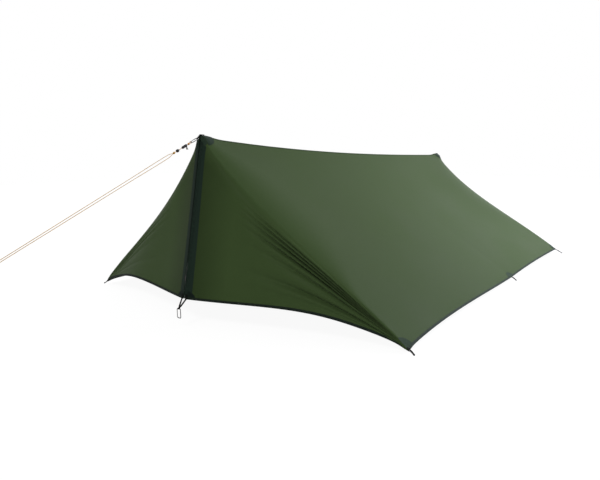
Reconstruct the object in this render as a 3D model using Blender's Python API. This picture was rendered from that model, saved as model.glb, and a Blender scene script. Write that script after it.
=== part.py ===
"""A camping tarp, pitched: a catenary-cut roof between two peaks, with a zipped two-leaf door at each end.

The origin is on the ground under the middle of the ridge.  +X runs along the ridge to the rear peak, +Z is
up, and "right" is the -Y side.  Everything is in metres.
"""

import math

import bmesh
import bpy
from mathutils import Vector

MM = 0.001

# The canopy, measured at the fabric.
RIDGE_SPAN = 3.772
FRONT_PEAK_HEIGHT = 1.200
REAR_PEAK_HEIGHT = 1.000
FRONT_CORNER_SETBACK = 0.176  # corners stand this far inside their peak, along the ridge
REAR_CORNER_SETBACK = 0.132
MIDDLE_SETBACK = 2.206        # middle peg point, behind the front peak
HALF_WIDTH = 1.393            # at the rear corners, the widest place
FRONT_INSET = 0.005           # the front corners and the middle peg points stand this far inside it
MIDDLE_INSET = 0.034
FRONT_CORNER_HEIGHT = 0.031
MIDDLE_HEIGHT = 0.028
REAR_CORNER_HEIGHT = 0.042
DOOR_FOOT_REACH = 0.200       # the doors' foot, in front of its peak
DOOR_FOOT_HEIGHT = 0.183

# How far the curved edges and the sheets bow in from straight.
# A lean moves an edge's deepest place towards its start, or towards its end where it is negative.
RIDGE_SAG = 0.042
RIDGE_LEAN = 0.3
FRONT_CREASE_BOW = 0.050
FRONT_CREASE_LEAN = 0.85
REAR_CREASE_BOW = 0.055
REAR_CREASE_LEAN = 0.84
FRONT_HEM_BOW = 0.022
FRONT_HEM_LEAN = 0.75
REAR_HEM_BOW = 0.011
REAR_HEM_LEAN = 0.0
DOOR_HEM_BOW = 0.065
DOOR_HEM_LEAN = 0.55
ROOF_SAG = 0.018
DOOR_SAG = 0.012
FOLD_DEPTH = 4.5 * MM
FOLD_LINES = (0.030, 0.060, 0.090, 0.125, 0.165, 0.210, 0.260)  # shares of the door, from its crease
DOOR_ROWS = (0.38, 0.52, 0.67, 0.82)  # and the places of its other grid lines
DOOR_START = 0.02             # share of the door cut off at its corner
FOOT_ROW_LIMIT = 0.16         # most of the door's width that the foot patch's row takes

# Fabric, tapes and patches.
FABRIC = 1.2 * MM
TAPE = 1.0 * MM
SEAM_GAP = 0.3 * MM
CREASE_SETBACK = 0.9 * MM
RIDGE_SETBACK = 1.2 * MM
RIDGE_TAPE_WIDTH = 16 * MM
HEM_WIDTH = 14 * MM
PATCH_REACH = 100 * MM
PEAK_PATCH_DROP = 70 * MM
CORNER_PATCH_RISE = 90 * MM
MIDDLE_PATCH_HALF = 55 * MM
FOOT_PATCH_WIDTH = 70 * MM
FOOT_PATCH_RISE = 50 * MM

# The door zips.
ZIP_TAPE_WIDTH = 24 * MM
DOOR_EDGE_SETBACK = 9 * MM
COIL_OUTER = 3.6 * MM
COIL_INNER = 1.3 * MM
COIL_HEIGHT = 2.2 * MM
DIVIDER_WIDTH = 1.6 * MM      # the slider's post between the coils
DIVIDER_LENGTH = 10.08 * MM
SLIDER_LENGTH = 14 * MM
SLIDER_WIDTH = 10 * MM
SLIDER_PLATE = 1.2 * MM
SLIDER_PLAY = 0.7 * MM
SLIDER_REST = 0.150           # the slider's middle, up from the doors' foot
SLIDER_BACK_ROOM = 0.9 * MM   # more room behind the coils, for the cloth's edges
BAIL_WIRE = 1.4 * MM
BAIL_LENGTH = 8.0 * MM
BAIL_RISE = 3.4 * MM          # clear height under the bail
BAIL_ROOT = 0.4 * MM
PULL_LENGTH = 34 * MM
PULL_WIDTH = 9 * MM
PULL_THICKNESS = 1.6 * MM
PULL_BAR = 2.0 * MM
PULL_SLOT = 3.4 * MM
PULL_SLOT_LENGTH = 8.0 * MM
PULL_HEAD = 0.8               # its width at the bar and at its tip, as shares
PULL_TIP = 0.7

# Webbing.
WEBBING = 1.4 * MM
STAKE_WEBBING_WIDTH = 8 * MM
STAKE_LOOP_SPREAD = 28 * MM
STAKE_LOOP_NOSE = 14 * MM
STAKE_LOOP_SEWN = 28 * MM
STAKE_LOOP_INSET = 12 * MM    # along the hem from the corner
STAKE_LOOP_LEAN = 0.45        # how far a corner's loop leans from the slope towards the hem
STAKE_MOUTH = 4 * MM          # where the loop's legs begin to close, outside the hem
STAKE_OPENING_BACK = 2 * MM   # the opening's back edge, inside the hem
STAKE_OPENING_TIP = 1.5 * MM  # half of its width at the nose
STAKE_NOSE_DEPTH = 6.4 * MM
PEAK_TAB_WIDTH = 14 * MM
FOOT_TAB_WIDTH = 7.4 * MM
FOOT_TAB_PLACE = 0.55         # share of the foot patch's first column, from the door's edge
TAB_SEWN = 32 * MM
EYE_PLAY = 0.5 * MM
EYE_WRAP = 125                # degrees that a strap wraps round its eye, to each side
EYE_NECK = 2.2                # eye radii from the eye's middle to where the strap's layers meet
PEAK_TAB_REACH = 30 * MM
FOOT_EYE_REACH = 0.046        # foot tabs' eyes, in front of the doors' foot
FOOT_EYE_DROP = 0.054         # and under it

# Carabiners.
CARABINER_LENGTH = 66 * MM
CARABINER_WIDTH = 36 * MM
CARABINER_WIRE = 5.4 * MM
CARABINER_CORNER = 7 * MM
GATE_WIRE = 4.6 * MM
GATE_PLAY = 0.4 * MM
GATE_CHAMFER = 0.7 * MM
GATE_START = 0.20             # shares of the body's length, along its open side
GATE_STOP = 0.84
QUARTER = 90                  # degrees of each of the body's bends
TONGUE = 1.6 * MM             # the body's flat end inside the gate's slot
TONGUE_WIDTH = 3.6 * MM
TONGUE_ROOT = 1.5 * MM
TONGUE_PLAY = 0.3 * MM
GATE_PIN = 1.4 * MM
PIN_PLAY = 0.2 * MM

# The guy line.
CORD = 3.0 * MM
GUY_SLOPE = math.radians(23.8)
KNOT_START = 16 * MM          # places along the line, from the carabiner's far bar
KNOT_TURNS = 3
KNOT_PITCH = 3.5 * MM
KNOT_CORD = 0.94 * CORD       # pulled tight
KNOT_JOIN = 1.4               # turns into the second knot where the single cord meets the doubled line
BAR_WRAP_START = 0.45         # share of the way to the knot where the loop's sides stop closing
BAR_WRAP_SIDE = 1.05          # their distance there, in wrap radii
BAR_WRAP = ((0.0, 1.12), (-0.8, 0.7), (-1.0, 0.0), (-0.8, -0.7), (0.0, -1.12))
TENSIONER_START = 38 * MM
TENSIONER_LENGTH = 46 * MM
TENSIONER_WIDTH = 17 * MM
TENSIONER_THICKNESS = 10 * MM
TENSIONER_BORE = 4.2 * MM
TENSIONER_ROUNDING = 0.6      # 1 is an ellipse, less is squarer
RUNNER_START = 112 * MM
RUNNER_LENGTH = 22 * MM
RUNNER_DIAMETER = 20 * MM
RUNNER_BORE = 4.2 * MM
RUNNER_FULLNESS = 0.7         # 1 is a ball, less is fuller towards its ends
LINE_KNOT_START = 148 * MM
LINE_SPREAD = 9.0 * MM
STRAND_PLACES = ((0.045, 1.0), (0.35, 0.82), (0.80, 0.66))  # past the knot, with shares of the spread
LINE_LENGTH = 1.460           # to the bight outside the view
BIGHT_RADIUS = 11 * MM
BIGHT_PLACES = (               # short of the bight's end, with distances from the line's middle
    (0.07, 0.55 * LINE_SPREAD),
    (0.03, 0.72 * BIGHT_RADIUS),
    (BIGHT_RADIUS, BIGHT_RADIUS),
    (0.3 * BIGHT_RADIUS, 0.72 * BIGHT_RADIUS),
)

# Sides of turned and swept shapes, and colours
ROUND = 16
WIRE_SIDES = 8
PIN_SIDES = 10
UP = Vector((0, 0, 1))
OLIVE = (0.036, 0.060, 0.022)
BLACK = (0.012, 0.013, 0.012)
STRAW = (0.55, 0.42, 0.16)
STEEL = (0.60, 0.61, 0.62)


# Objects and materials

def clear_scene():
    for thing in list(bpy.data.objects):
        bpy.data.objects.remove(thing, do_unlink=True)


def material(name, colour, roughness, metallic=0.0):
    made = bpy.data.materials.get(name) or bpy.data.materials.new(name)
    made.use_nodes = True
    shader = made.node_tree.nodes["Principled BSDF"]
    shader.inputs["Base Color"].default_value = (*colour, 1.0)
    shader.inputs["Roughness"].default_value = roughness
    shader.inputs["Metallic"].default_value = metallic
    return made


def add_object(name, mesh, finish, smooth_angle=None, origin=None):
    """Link a bmesh as one closed object, with its origin at a joint where it has one."""
    bmesh.ops.recalc_face_normals(mesh, faces=mesh.faces[:])
    data = bpy.data.meshes.new(name)
    if origin is not None:
        bmesh.ops.translate(mesh, vec=-origin, verts=mesh.verts[:])
    mesh.to_mesh(data)
    mesh.free()
    if smooth_angle is not None:
        data.shade_smooth()
        data.set_sharp_from_angle(angle=math.radians(smooth_angle))
    data.materials.append(finish)
    made = bpy.data.objects.new(name, data)
    if origin is not None:
        made.location = origin
    bpy.context.collection.objects.link(made)
    return made


def add_grid(mesh, points, normals, lows, highs):
    """Add a closed slab between two offsets of a grid; the offsets are given for each column."""
    layers = []
    for offsets in (lows, highs):
        layer = []
        for row, row_normals in zip(points, normals):
            layer.append([mesh.verts.new(p + n * lift) for p, n, lift in zip(row, row_normals, offsets)])
        layers.append(layer)
    for layer in layers:
        for near, far in zip(layer, layer[1:]):
            for j in range(len(near) - 1):
                mesh.faces.new((near[j], far[j], far[j + 1]))
                mesh.faces.new((near[j], far[j + 1], near[j + 1]))
    low, high = (rim(layer) for layer in layers)
    for k in range(len(low)):
        n = (k + 1) % len(low)
        mesh.faces.new((low[k], low[n], high[n]))
        mesh.faces.new((low[k], high[n], high[k]))


def rim(grid):
    """The outer points of a grid, in order."""
    ahead = list(grid[0]) + [row[-1] for row in grid[1:-1]]
    back = list(reversed(grid[-1])) + [row[0] for row in reversed(grid[1:-1])]
    return ahead + back


def add_ring_tube(mesh, rings):
    """Join closed rings of points into a tube with flat ends."""
    loops = [[mesh.verts.new(p) for p in ring] for ring in rings]
    count = len(loops[0])
    for near, far in zip(loops, loops[1:]):
        for k in range(count):
            mesh.faces.new((near[k], near[(k + 1) % count], far[(k + 1) % count], far[k]))
    mesh.faces.new(loops[0])
    mesh.faces.new(loops[-1])


def add_turned(mesh, profile, base, axis=UP, sides=ROUND, closed=False):
    """Turn (radius, height) pairs about an axis; a closed profile makes a hollow ring."""
    across = axis.orthogonal().normalized()
    over = axis.cross(across).normalized()
    rings = []
    for radius, height in profile:
        ring = []
        for k in range(sides):
            turn = math.tau * k / sides
            ring.append(base + axis * height + (across * math.cos(turn) + over * math.sin(turn)) * radius)
        rings.append(ring)
    if not closed:
        add_ring_tube(mesh, rings)
        return
    loops = [[mesh.verts.new(p) for p in ring] for ring in rings]
    for near, far in zip(loops, loops[1:] + loops[:1]):
        for k in range(sides):
            mesh.faces.new((near[k], near[(k + 1) % sides], far[(k + 1) % sides], far[k]))


def add_wire(mesh, path, diameter, sides=WIRE_SIDES):
    """Sweep a round wire along a path, with its ends square to it."""
    rings = []
    side = None
    for k, point in enumerate(path):
        ahead = path[min(k + 1, len(path) - 1)]
        behind = path[max(k - 1, 0)]
        along = (ahead - behind).normalized()
        if side is None:
            side = along.orthogonal().normalized()
        side = (side - along * side.dot(along)).normalized()
        over = along.cross(side)
        ring = []
        for s in range(sides):
            turn = math.tau * s / sides
            ring.append(point + (side * math.cos(turn) + over * math.sin(turn)) * diameter / 2)
        rings.append(ring)
    add_ring_tube(mesh, rings)


def arc(centre, across, over, radius, start, end, steps):
    """Points on an arc from the start angle to the end angle, from across towards over."""
    points = []
    for k in range(steps + 1):
        turn = math.radians(start + (end - start) * k / steps)
        points.append(centre + (across * math.cos(turn) + over * math.sin(turn)) * radius)
    return points


def smooth_route(stations, steps):
    """Points on a smooth curve through the stations, the same number in each stretch."""
    points = []
    ends = [stations[0] * 2 - stations[1]] + list(stations) + [stations[-1] * 2 - stations[-2]]
    for a, b, c, d in zip(ends, ends[1:], ends[2:], ends[3:]):
        reach = (c - b).length
        leave = (c - a).normalized() * reach
        arrive = (d - b).normalized() * reach
        for k in range(steps):
            t = k / steps
            from_b, from_c = 2 * t**3 - 3 * t**2 + 1, 3 * t**2 - 2 * t**3
            points.append(b * from_b + c * from_c + leave * (t**3 - 2 * t**2 + t) + arrive * (t**3 - t**2))
    points.append(stations[-1])
    return points


def add_cord(name, points, finish):
    """A round cord as a curve with filled ends."""
    curve = bpy.data.curves.new(name, "CURVE")
    curve.dimensions = "3D"
    curve.bevel_depth = CORD / 2
    curve.bevel_resolution = 2
    curve.use_fill_caps = True
    spline = curve.splines.new("POLY")
    spline.points.add(len(points) - 1)
    for knot, point in zip(spline.points, points):
        knot.co = (*point, 1.0)
    curve.materials.append(finish)
    made = bpy.data.objects.new(name, curve)
    bpy.context.collection.objects.link(made)
    return made


# The canopy's surfaces

def mirrored(point, side):
    """Shapes are worked out on the right side; side is -1 there and 1 on the left."""
    return Vector((point.x, -side * point.y, point.z))


def bowed(start, end, towards, bow, lean, t):
    return start.lerp(end, t) + towards * (4 * bow * t * (1 - t) * (1 + lean * (1 - 2 * t)))


def end_points(end):
    """The peak, the door's foot and the right corner at one end."""
    if end == "front":
        peak = Vector((-RIDGE_SPAN / 2, 0, FRONT_PEAK_HEIGHT))
        foot = Vector((peak.x - DOOR_FOOT_REACH, 0, DOOR_FOOT_HEIGHT))
        corner = Vector((peak.x + FRONT_CORNER_SETBACK, FRONT_INSET - HALF_WIDTH, FRONT_CORNER_HEIGHT))
    else:
        peak = Vector((RIDGE_SPAN / 2, 0, REAR_PEAK_HEIGHT))
        foot = Vector((peak.x + DOOR_FOOT_REACH, 0, DOOR_FOOT_HEIGHT))
        corner = Vector((peak.x - REAR_CORNER_SETBACK, -HALF_WIDTH, REAR_CORNER_HEIGHT))
    return peak, foot, corner


def middle_point():
    return Vector((MIDDLE_SETBACK - RIDGE_SPAN / 2, MIDDLE_INSET - HALF_WIDTH, MIDDLE_HEIGHT))


def crease_point(end, t):
    """The fold between roof and door, from the peak to the corner."""
    bow = FRONT_CREASE_BOW if end == "front" else REAR_CREASE_BOW
    lean = FRONT_CREASE_LEAN if end == "front" else REAR_CREASE_LEAN
    peak, foot, corner = end_points(end)
    along = (corner - peak).normalized()
    roofward = end_points("rear" if end == "front" else "front")[0] - peak
    doorward = foot - peak
    inward = Vector((0, 0, 0))
    for way in (roofward, doorward):
        inward += (way - along * way.dot(along)).normalized()
    return bowed(peak, corner, inward.normalized(), bow, lean, t)


def ridge_point(u):
    return bowed(end_points("front")[0], end_points("rear")[0], -UP, RIDGE_SAG, RIDGE_LEAN, u)


def middle_share():
    front, rear = end_points("front")[2], end_points("rear")[2]
    return (middle_point().x - front.x) / (rear.x - front.x)


def side_hem_point(u):
    """The lower edge of the roof, in two bows that meet at the middle peg point."""
    front, rear = end_points("front")[2], end_points("rear")[2]
    split = middle_share()
    if u < split:
        start, end, t = front, middle_point(), u / split
        bow, lean = FRONT_HEM_BOW, FRONT_HEM_LEAN
    else:
        start, end, t = middle_point(), rear, (u - split) / (1 - split)
        bow, lean = REAR_HEM_BOW, REAR_HEM_LEAN
    upslope = (ridge_point(u) - start.lerp(end, t)).normalized()
    return bowed(start, end, upslope, bow, lean, t)


def roof_normal_guess():
    front, rear = end_points("front"), end_points("rear")
    return (front[2] - front[0]).cross(rear[0] - front[0]).normalized()


def roof_point(u, v):
    """A point of the right roof panel: u from front to rear, v from the ridge to the hem."""
    ridge, hem = ridge_point(u), side_hem_point(u)
    front, rear = crease_point("front", v), crease_point("rear", v)
    corners = ridge_point(0).lerp(ridge_point(1), u).lerp(side_hem_point(0).lerp(side_hem_point(1), u), v)
    point = ridge.lerp(hem, v) + front.lerp(rear, u) - corners
    return point - roof_normal_guess() * (16 * ROOF_SAG * u * (1 - u) * v * (1 - v))


def door_hem_point(end, t):
    """The lower edge of a door leaf, from the corner to the foot, bowed up in the leaf."""
    peak, foot, corner = end_points(end)
    along = (foot - corner).normalized()
    rise = peak - corner
    upward = (rise - along * rise.dot(along)).normalized()
    return bowed(corner, foot, upward, DOOR_HEM_BOW, DOOR_HEM_LEAN, t)


def door_normal(end):
    peak, foot, corner = end_points(end)
    normal = (corner - peak).cross(foot - peak).normalized()
    return normal if (normal.x < 0) == (end == "front") else -normal


def fold_height(a, b):
    """Folds that fan out of the peg corner, close to the crease."""
    if a >= FOLD_LINES[-1] or a <= 0:
        return 0.0
    marks = (0.0,) + FOLD_LINES
    place = max(k for k in range(len(marks)) if marks[k] <= a)
    share = (a - marks[place]) / (marks[place + 1] - marks[place])
    heights = [0, 0] + [-(k % 2) for k in range(1, len(marks) - 1)]
    return FOLD_DEPTH * 4 * b * (1 - b) * (heights[place] * (1 - share) + heights[place + 1] * share)


def door_point(end, a, b):
    """A point of the right door leaf: a from the crease to the hem, b from the corner to the zip."""
    point = crease_point(end, 1 - b).lerp(door_hem_point(end, b), a)
    lift = fold_height(a, b) - 16 * DOOR_SAG * a * (1 - a) * b * (1 - b)
    return point + door_normal(end) * lift


def surface_normal(surface, u, v, outward):
    step = 0.002
    low_u, high_u = max(u - step, 0.0), min(u + step, 1.0)
    low_v, high_v = max(v - step, 0.0), min(v + step, 1.0)
    normal = (surface(high_u, v) - surface(low_u, v)).cross(surface(u, high_v) - surface(u, low_v))
    normal.normalize()
    return normal if normal.dot(outward) > 0 else -normal


def roof_grid(us, vs, side):
    """Points and outward normals of a roof panel; rows run along the ridge, columns down the slope."""
    outward = roof_normal_guess()
    if outward.z < 0:
        outward = -outward
    points = [[mirrored(roof_point(u, v), side) for v in vs] for u in us]
    normals = [[mirrored(surface_normal(roof_point, u, v, outward), side) for v in vs] for u in us]
    return points, normals


SLANT_STEPS = [k / 10 for k in range(1, 10)]


def slant_length():
    return (end_points("front")[2] - end_points("front")[0]).length


def roof_lines():
    """Shares along and down the roof at which its grid has lines."""
    reach = PATCH_REACH / RIDGE_SPAN
    start, stop = CREASE_SETBACK / RIDGE_SPAN, 1 - CREASE_SETBACK / RIDGE_SPAN
    split, half = middle_share(), MIDDLE_PATCH_HALF / RIDGE_SPAN
    us = [start, reach]
    us += [reach + (split - half - reach) * k / 6 for k in range(1, 6)]
    us += [split - half, split, split + half]
    us += [split + half + (1 - reach - split - half) * k / 5 for k in range(1, 5)]
    us += [1 - reach, stop]
    slant = slant_length()
    vs = [RIDGE_SETBACK / slant, RIDGE_TAPE_WIDTH / slant, PEAK_PATCH_DROP / slant]
    vs += SLANT_STEPS
    vs += [1 - CORNER_PATCH_RISE / slant, 1 - HEM_WIDTH / slant, 1.0]
    return us, vs


def trimmed(points, gap):
    """Pull the grid's outer rows and columns in, so that neighbouring pieces keep a gap."""
    rows = [list(row) for row in points]
    for grid_edge in range(2):
        for row in rows:
            row[0] = row[0] + (row[1] - row[0]).normalized() * gap
            row[-1] = row[-1] + (row[-2] - row[-1]).normalized() * gap
        rows = [list(column) for column in zip(*rows)]
    return rows


def cut(grid, rows, columns):
    return [row[columns[0]:columns[1] + 1] for row in grid[rows[0]:rows[1] + 1]]


def add_piece(mesh, grid, rows, columns, low, thickness):
    """Add a tape or patch over some cells of a sheet's grid."""
    points = trimmed(cut(grid[0], rows, columns), SEAM_GAP / 2)
    normals = cut(grid[1], rows, columns)
    count = len(points[0])
    add_grid(mesh, points, normals, [low] * count, [low + thickness] * count)


def over_ridge(grids, rows, last):
    """A grid over the ridge, from the left panel through the fold to the right panel."""
    points, normals = [], []
    for i in range(rows[0], rows[1] + 1):
        left = [grids[1][0][i][j] for j in range(last, 0, -1)]
        right = [grids[-1][0][i][j] for j in range(1, last + 1)]
        left_normals = [grids[1][1][i][j] for j in range(last, 0, -1)]
        right_normals = [grids[-1][1][i][j] for j in range(1, last + 1)]
        inner = grids[-1][0][i][0]
        slope = grids[-1][1][i][0]
        fold = Vector((inner.x, 0, inner.z + inner.y * slope.y / slope.z))
        tilt = Vector((slope.x, 0, slope.z))
        points.append(left + [fold] + right)
        normals.append(left_normals + [tilt / tilt.length_squared] + right_normals)
    return points, normals


def build_roof(fabric, tape):
    us, vs = roof_lines()
    grids = {side: roof_grid(us, vs, side) for side in (-1, 1)}
    above = FABRIC / 2 + SEAM_GAP
    last_row, last_column = len(us) - 1, len(vs) - 1
    middle = us.index(middle_share())
    patches = (("front", (0, 1)), ("middle", (middle - 1, middle + 1)), ("rear", (last_row - 1, last_row)))
    for side, word in ((-1, "right"), (1, "left")):
        points, normals = grids[side]
        panel = bmesh.new()
        add_grid(panel, points, normals, [-FABRIC / 2] * len(vs), [FABRIC / 2] * len(vs))
        add_object("roof_panel_" + word, panel, fabric)
        hem_tape = bmesh.new()
        add_piece(hem_tape, grids[side], (0, last_row), (last_column - 1, last_column), above, TAPE)
        add_object("side_hem_tape_" + word, hem_tape, tape)
        for place, rows in patches:
            patch = bmesh.new()
            add_piece(patch, grids[side], rows, (last_column - 2, last_column - 1), above, TAPE)
            add_object("corner_patch_" + place + "_" + word, patch, tape)
    for name, rows, last in (
        ("peak_patch_front", (0, 1), 2),
        ("ridge_seam_tape", (1, last_row - 1), 1),
        ("peak_patch_rear", (last_row - 1, last_row), 2),
    ):
        points, normals = over_ridge(grids, rows, last)
        points = trimmed(points, SEAM_GAP / 2)
        piece = bmesh.new()
        count = len(points[0])
        add_grid(piece, points, normals, [above] * count, [above + TAPE] * count)
        add_object(name, piece, tape)
    return grids


# The doors

def door_grid(end, side, zip_places):
    """A door leaf's grid; zip_places are distances from the zip's middle line, largest first."""
    peak, foot, corner = end_points(end)
    reach = {a: (corner - peak.lerp(foot, a)).length for a in (0.0, 1.0)}
    bs = [DOOR_START, CORNER_PATCH_RISE / slant_length()] + SLANT_STEPS
    outward = door_normal(end)
    lines = [("crease", CREASE_SETBACK)] + [("share", a) for a in FOLD_LINES]
    lines += [("share", a) for a in DOOR_ROWS]
    lines += [("hem", FOOT_PATCH_RISE), ("hem", HEM_WIDTH), ("hem", 0.0)]
    points, normals = [], []
    for kind, value in lines:
        row, row_normals = [], []
        nominal = {"crease": 0.0, "share": value, "hem": 1.0}[kind]
        length = reach[0.0] + (reach[1.0] - reach[0.0]) * nominal
        for b in bs + [1 - place / length for place in zip_places]:
            width = (door_hem_point(end, b) - crease_point(end, 1 - b)).length
            low, high = CREASE_SETBACK / width, 1 - min(FOOT_PATCH_RISE / width, FOOT_ROW_LIMIT)
            if kind == "crease":
                a = low
            elif kind == "share":
                a = low + (high - low) * value
            else:
                a = 1 - (1 - high) * value / FOOT_PATCH_RISE
            row.append(mirrored(door_point(end, a, b), side))
            normal = surface_normal(lambda p, q: door_point(end, p, q), a, b, outward)
            row_normals.append(mirrored(normal, side))
        points.append(row)
        normals.append(row_normals)
    return points, normals


def zip_line(end):
    """The zip's direction down the door, and the direction out of it."""
    peak, foot, _ = end_points(end)
    down = (foot - peak).normalized()
    out = Vector((down.z, 0, -down.x))
    if (out.x < 0) != (end == "front"):
        out = -out
    return down, out


def straighten_coil(grid, end, side):
    """Put the two columns of a zip's coil beside the straight line that its slider runs on."""
    peak = end_points(end)[0]
    down, out = zip_line(end)
    for row, row_normals in zip(*grid):
        for column, place in ((-2, COIL_OUTER), (-1, COIL_INNER)):
            along = (row[column] - peak).dot(down)
            row[column] = peak + down * along + Vector((0, side * place, 0))
            row_normals[column] = out


def build_leaf(end, side, word, fabric, tape, coil_finish):
    name = "_" + end + "_" + word
    places = [FOOT_PATCH_WIDTH, ZIP_TAPE_WIDTH, DOOR_EDGE_SETBACK]
    grid = door_grid(end, side, places)
    last_row, last_column = len(grid[0]) - 1, len(grid[0][0]) - 1
    leaf = bmesh.new()
    count = last_column + 1
    add_grid(leaf, grid[0], grid[1], [-FABRIC / 2] * count, [FABRIC / 2] * count)
    hinge = mirrored(end_points(end)[0], side)
    add_object("door" + name, leaf, fabric, origin=hinge)
    above = FABRIC / 2 + SEAM_GAP
    hem = bmesh.new()
    add_piece(hem, grid, (last_row - 1, last_row), (0, last_column - 2), above, TAPE)
    add_object("door_hem_tape" + name, hem, tape, origin=hinge)
    patch = bmesh.new()
    add_piece(patch, grid, (last_row - 2, last_row), (last_column - 2, last_column), above, TAPE)
    add_object("foot_patch" + name, patch, tape, origin=hinge)
    wide = door_grid(end, side, [ZIP_TAPE_WIDTH, DOOR_EDGE_SETBACK, COIL_OUTER, COIL_INNER])
    straighten_coil(wide, end, side)
    rows = (1, last_row - 2)
    columns = (len(wide[0][0]) - 4, len(wide[0][0]) - 1)
    points = trimmed(cut(wide[0], rows, columns), SEAM_GAP / 2)
    normals = cut(wide[1], rows, columns)
    coil_low = above + TAPE / 2 - COIL_HEIGHT / 2
    lows = [above, above, coil_low, coil_low]
    highs = [above + TAPE, above + TAPE, coil_low + COIL_HEIGHT, coil_low + COIL_HEIGHT]
    strip = bmesh.new()
    add_grid(strip, points, normals, lows, highs)
    add_object("zip_tape" + name, strip, coil_finish, origin=hinge)
    return grid


def build_slider(end, metal):
    """A slider round both coils: two plates, the divider between the coils, and the pull's bail."""
    foot = end_points(end)[1]
    down, out = zip_line(end)
    across = Vector((0, 1, 0))
    middle = FABRIC / 2 + SEAM_GAP + TAPE / 2
    front = middle + COIL_HEIGHT / 2 + SLIDER_PLAY
    back = middle - COIL_HEIGHT / 2 - SLIDER_PLAY - SLIDER_BACK_ROOM
    centre = foot - down * SLIDER_REST
    plate, post = slider_outline(SLIDER_LENGTH, SLIDER_WIDTH), slider_post()
    layers = [(back - SLIDER_PLATE, plate), (back, plate), (back, post)]
    layers += [(front, post), (front, plate), (front + SLIDER_PLATE, plate)]
    body = bmesh.new()
    rings = [[centre + down * x + across * y + out * lift for x, y in shape] for lift, shape in layers]
    add_ring_tube(body, rings)
    made = add_object("zip_slider_" + end, body, metal, origin=centre)
    face = centre + out * (front + SLIDER_PLATE)
    rise, shoulder = out * (BAIL_RISE + BAIL_WIRE / 2), BAIL_WIRE
    path = [face - down * BAIL_LENGTH / 2 - out * BAIL_ROOT]
    path.append(face - down * BAIL_LENGTH / 2 + rise - out * shoulder)
    path.append(face - down * (BAIL_LENGTH / 2 - shoulder) + rise)
    path.append(face + down * (BAIL_LENGTH / 2 - shoulder) + rise)
    path.append(face + down * BAIL_LENGTH / 2 + rise - out * shoulder)
    path.append(face + down * BAIL_LENGTH / 2 - out * BAIL_ROOT)
    bail = bmesh.new()
    add_wire(bail, path, BAIL_WIRE)
    join_into(made, add_object("bail_" + end, bail, metal))
    hinge = face + down * (BAIL_LENGTH / 2 - BAIL_WIRE / 2 - PULL_BAR / 2 - 2 * SEAM_GAP)
    hinge += out * (BAIL_RISE / 2)
    return hinge, (down, across, out)


def slider_outline(length, width):
    """A slider plate seen from the front: wide shoulders above, drawn in at its tail."""
    half_length, half_width = length / 2, width / 2
    shape = [
        (-half_length, 0.55 * half_width),
        (-0.55 * half_length, half_width),
        (0.35 * half_length, 0.92 * half_width),
        (half_length, 0.62 * half_width),
    ]
    return shape + [(x, -y) for x, y in reversed(shape)]


def slider_post():
    """The divider's outline, with as many points as the plate's."""
    half_length, half_width = DIVIDER_LENGTH / 2, DIVIDER_WIDTH / 2
    shape = [
        (-half_length, 0.5 * half_width),
        (-0.8 * half_length, half_width),
        (-0.2 * half_length, half_width),
        (0.1 * half_length, 0.5 * half_width),
    ]
    return shape + [(x, -y) for x, y in reversed(shape)]


def combine(target, extra, operation):
    """Apply an extra solid to a target with a Boolean, and remove it."""
    boolean = target.modifiers.new("combine", "BOOLEAN")
    boolean.operation = operation
    boolean.solver = "EXACT"
    boolean.object = extra
    bpy.context.view_layer.update()
    evaluated = target.evaluated_get(bpy.context.evaluated_depsgraph_get())
    data = bpy.data.meshes.new_from_object(evaluated)
    target.modifiers.clear()
    target.data = data
    bpy.data.objects.remove(extra, do_unlink=True)


def join_into(target, extra):
    combine(target, extra, "UNION")


def cut_from(target, extra):
    combine(target, extra, "DIFFERENCE")


def build_pull(end, hinge, axes, finish):
    """The slider's pull: its top bar turns under the bail, which its slot passes round."""
    down, across, out = axes
    half, slot = PULL_WIDTH / 2, PULL_SLOT / 2
    bar, low = PULL_BAR / 2, PULL_BAR / 2 + PULL_SLOT_LENGTH
    head, tip = half * PULL_HEAD, half * PULL_TIP
    outer = [(-bar, -head), (-bar, head), (low, half), (PULL_LENGTH, tip), (PULL_LENGTH, -tip), (low, -half)]
    inner = [(bar, -slot), (bar, slot), (low - slot, slot), (low, slot * 0.5)]
    inner += [(low, -slot * 0.5), (low - slot, -slot)]
    pull = bmesh.new()
    add_plate(pull, hinge, down, across, out, outer, inner, PULL_THICKNESS)
    add_object("zip_pull_" + end, pull, finish, origin=hinge)


def add_plate(mesh, origin, along, across, normal, outer, inner, thickness):
    """A flat plate with a hole; both outlines have the same number of points, in step."""
    count = len(outer)
    rings = []
    for shape in (outer, inner):
        for lift in (-thickness / 2, thickness / 2):
            rings.append([mesh.verts.new(origin + along * x + across * y + normal * lift) for x, y in shape])
    outer_low, outer_high, inner_low, inner_high = rings
    for k in range(count):
        n = (k + 1) % count
        for a, b in (
            (outer_low, outer_high),
            (inner_high, inner_low),
            (inner_low, outer_low),
            (outer_high, inner_high),
        ):
            mesh.faces.new((a[k], a[n], b[n], b[k]))


# Webbing

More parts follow.
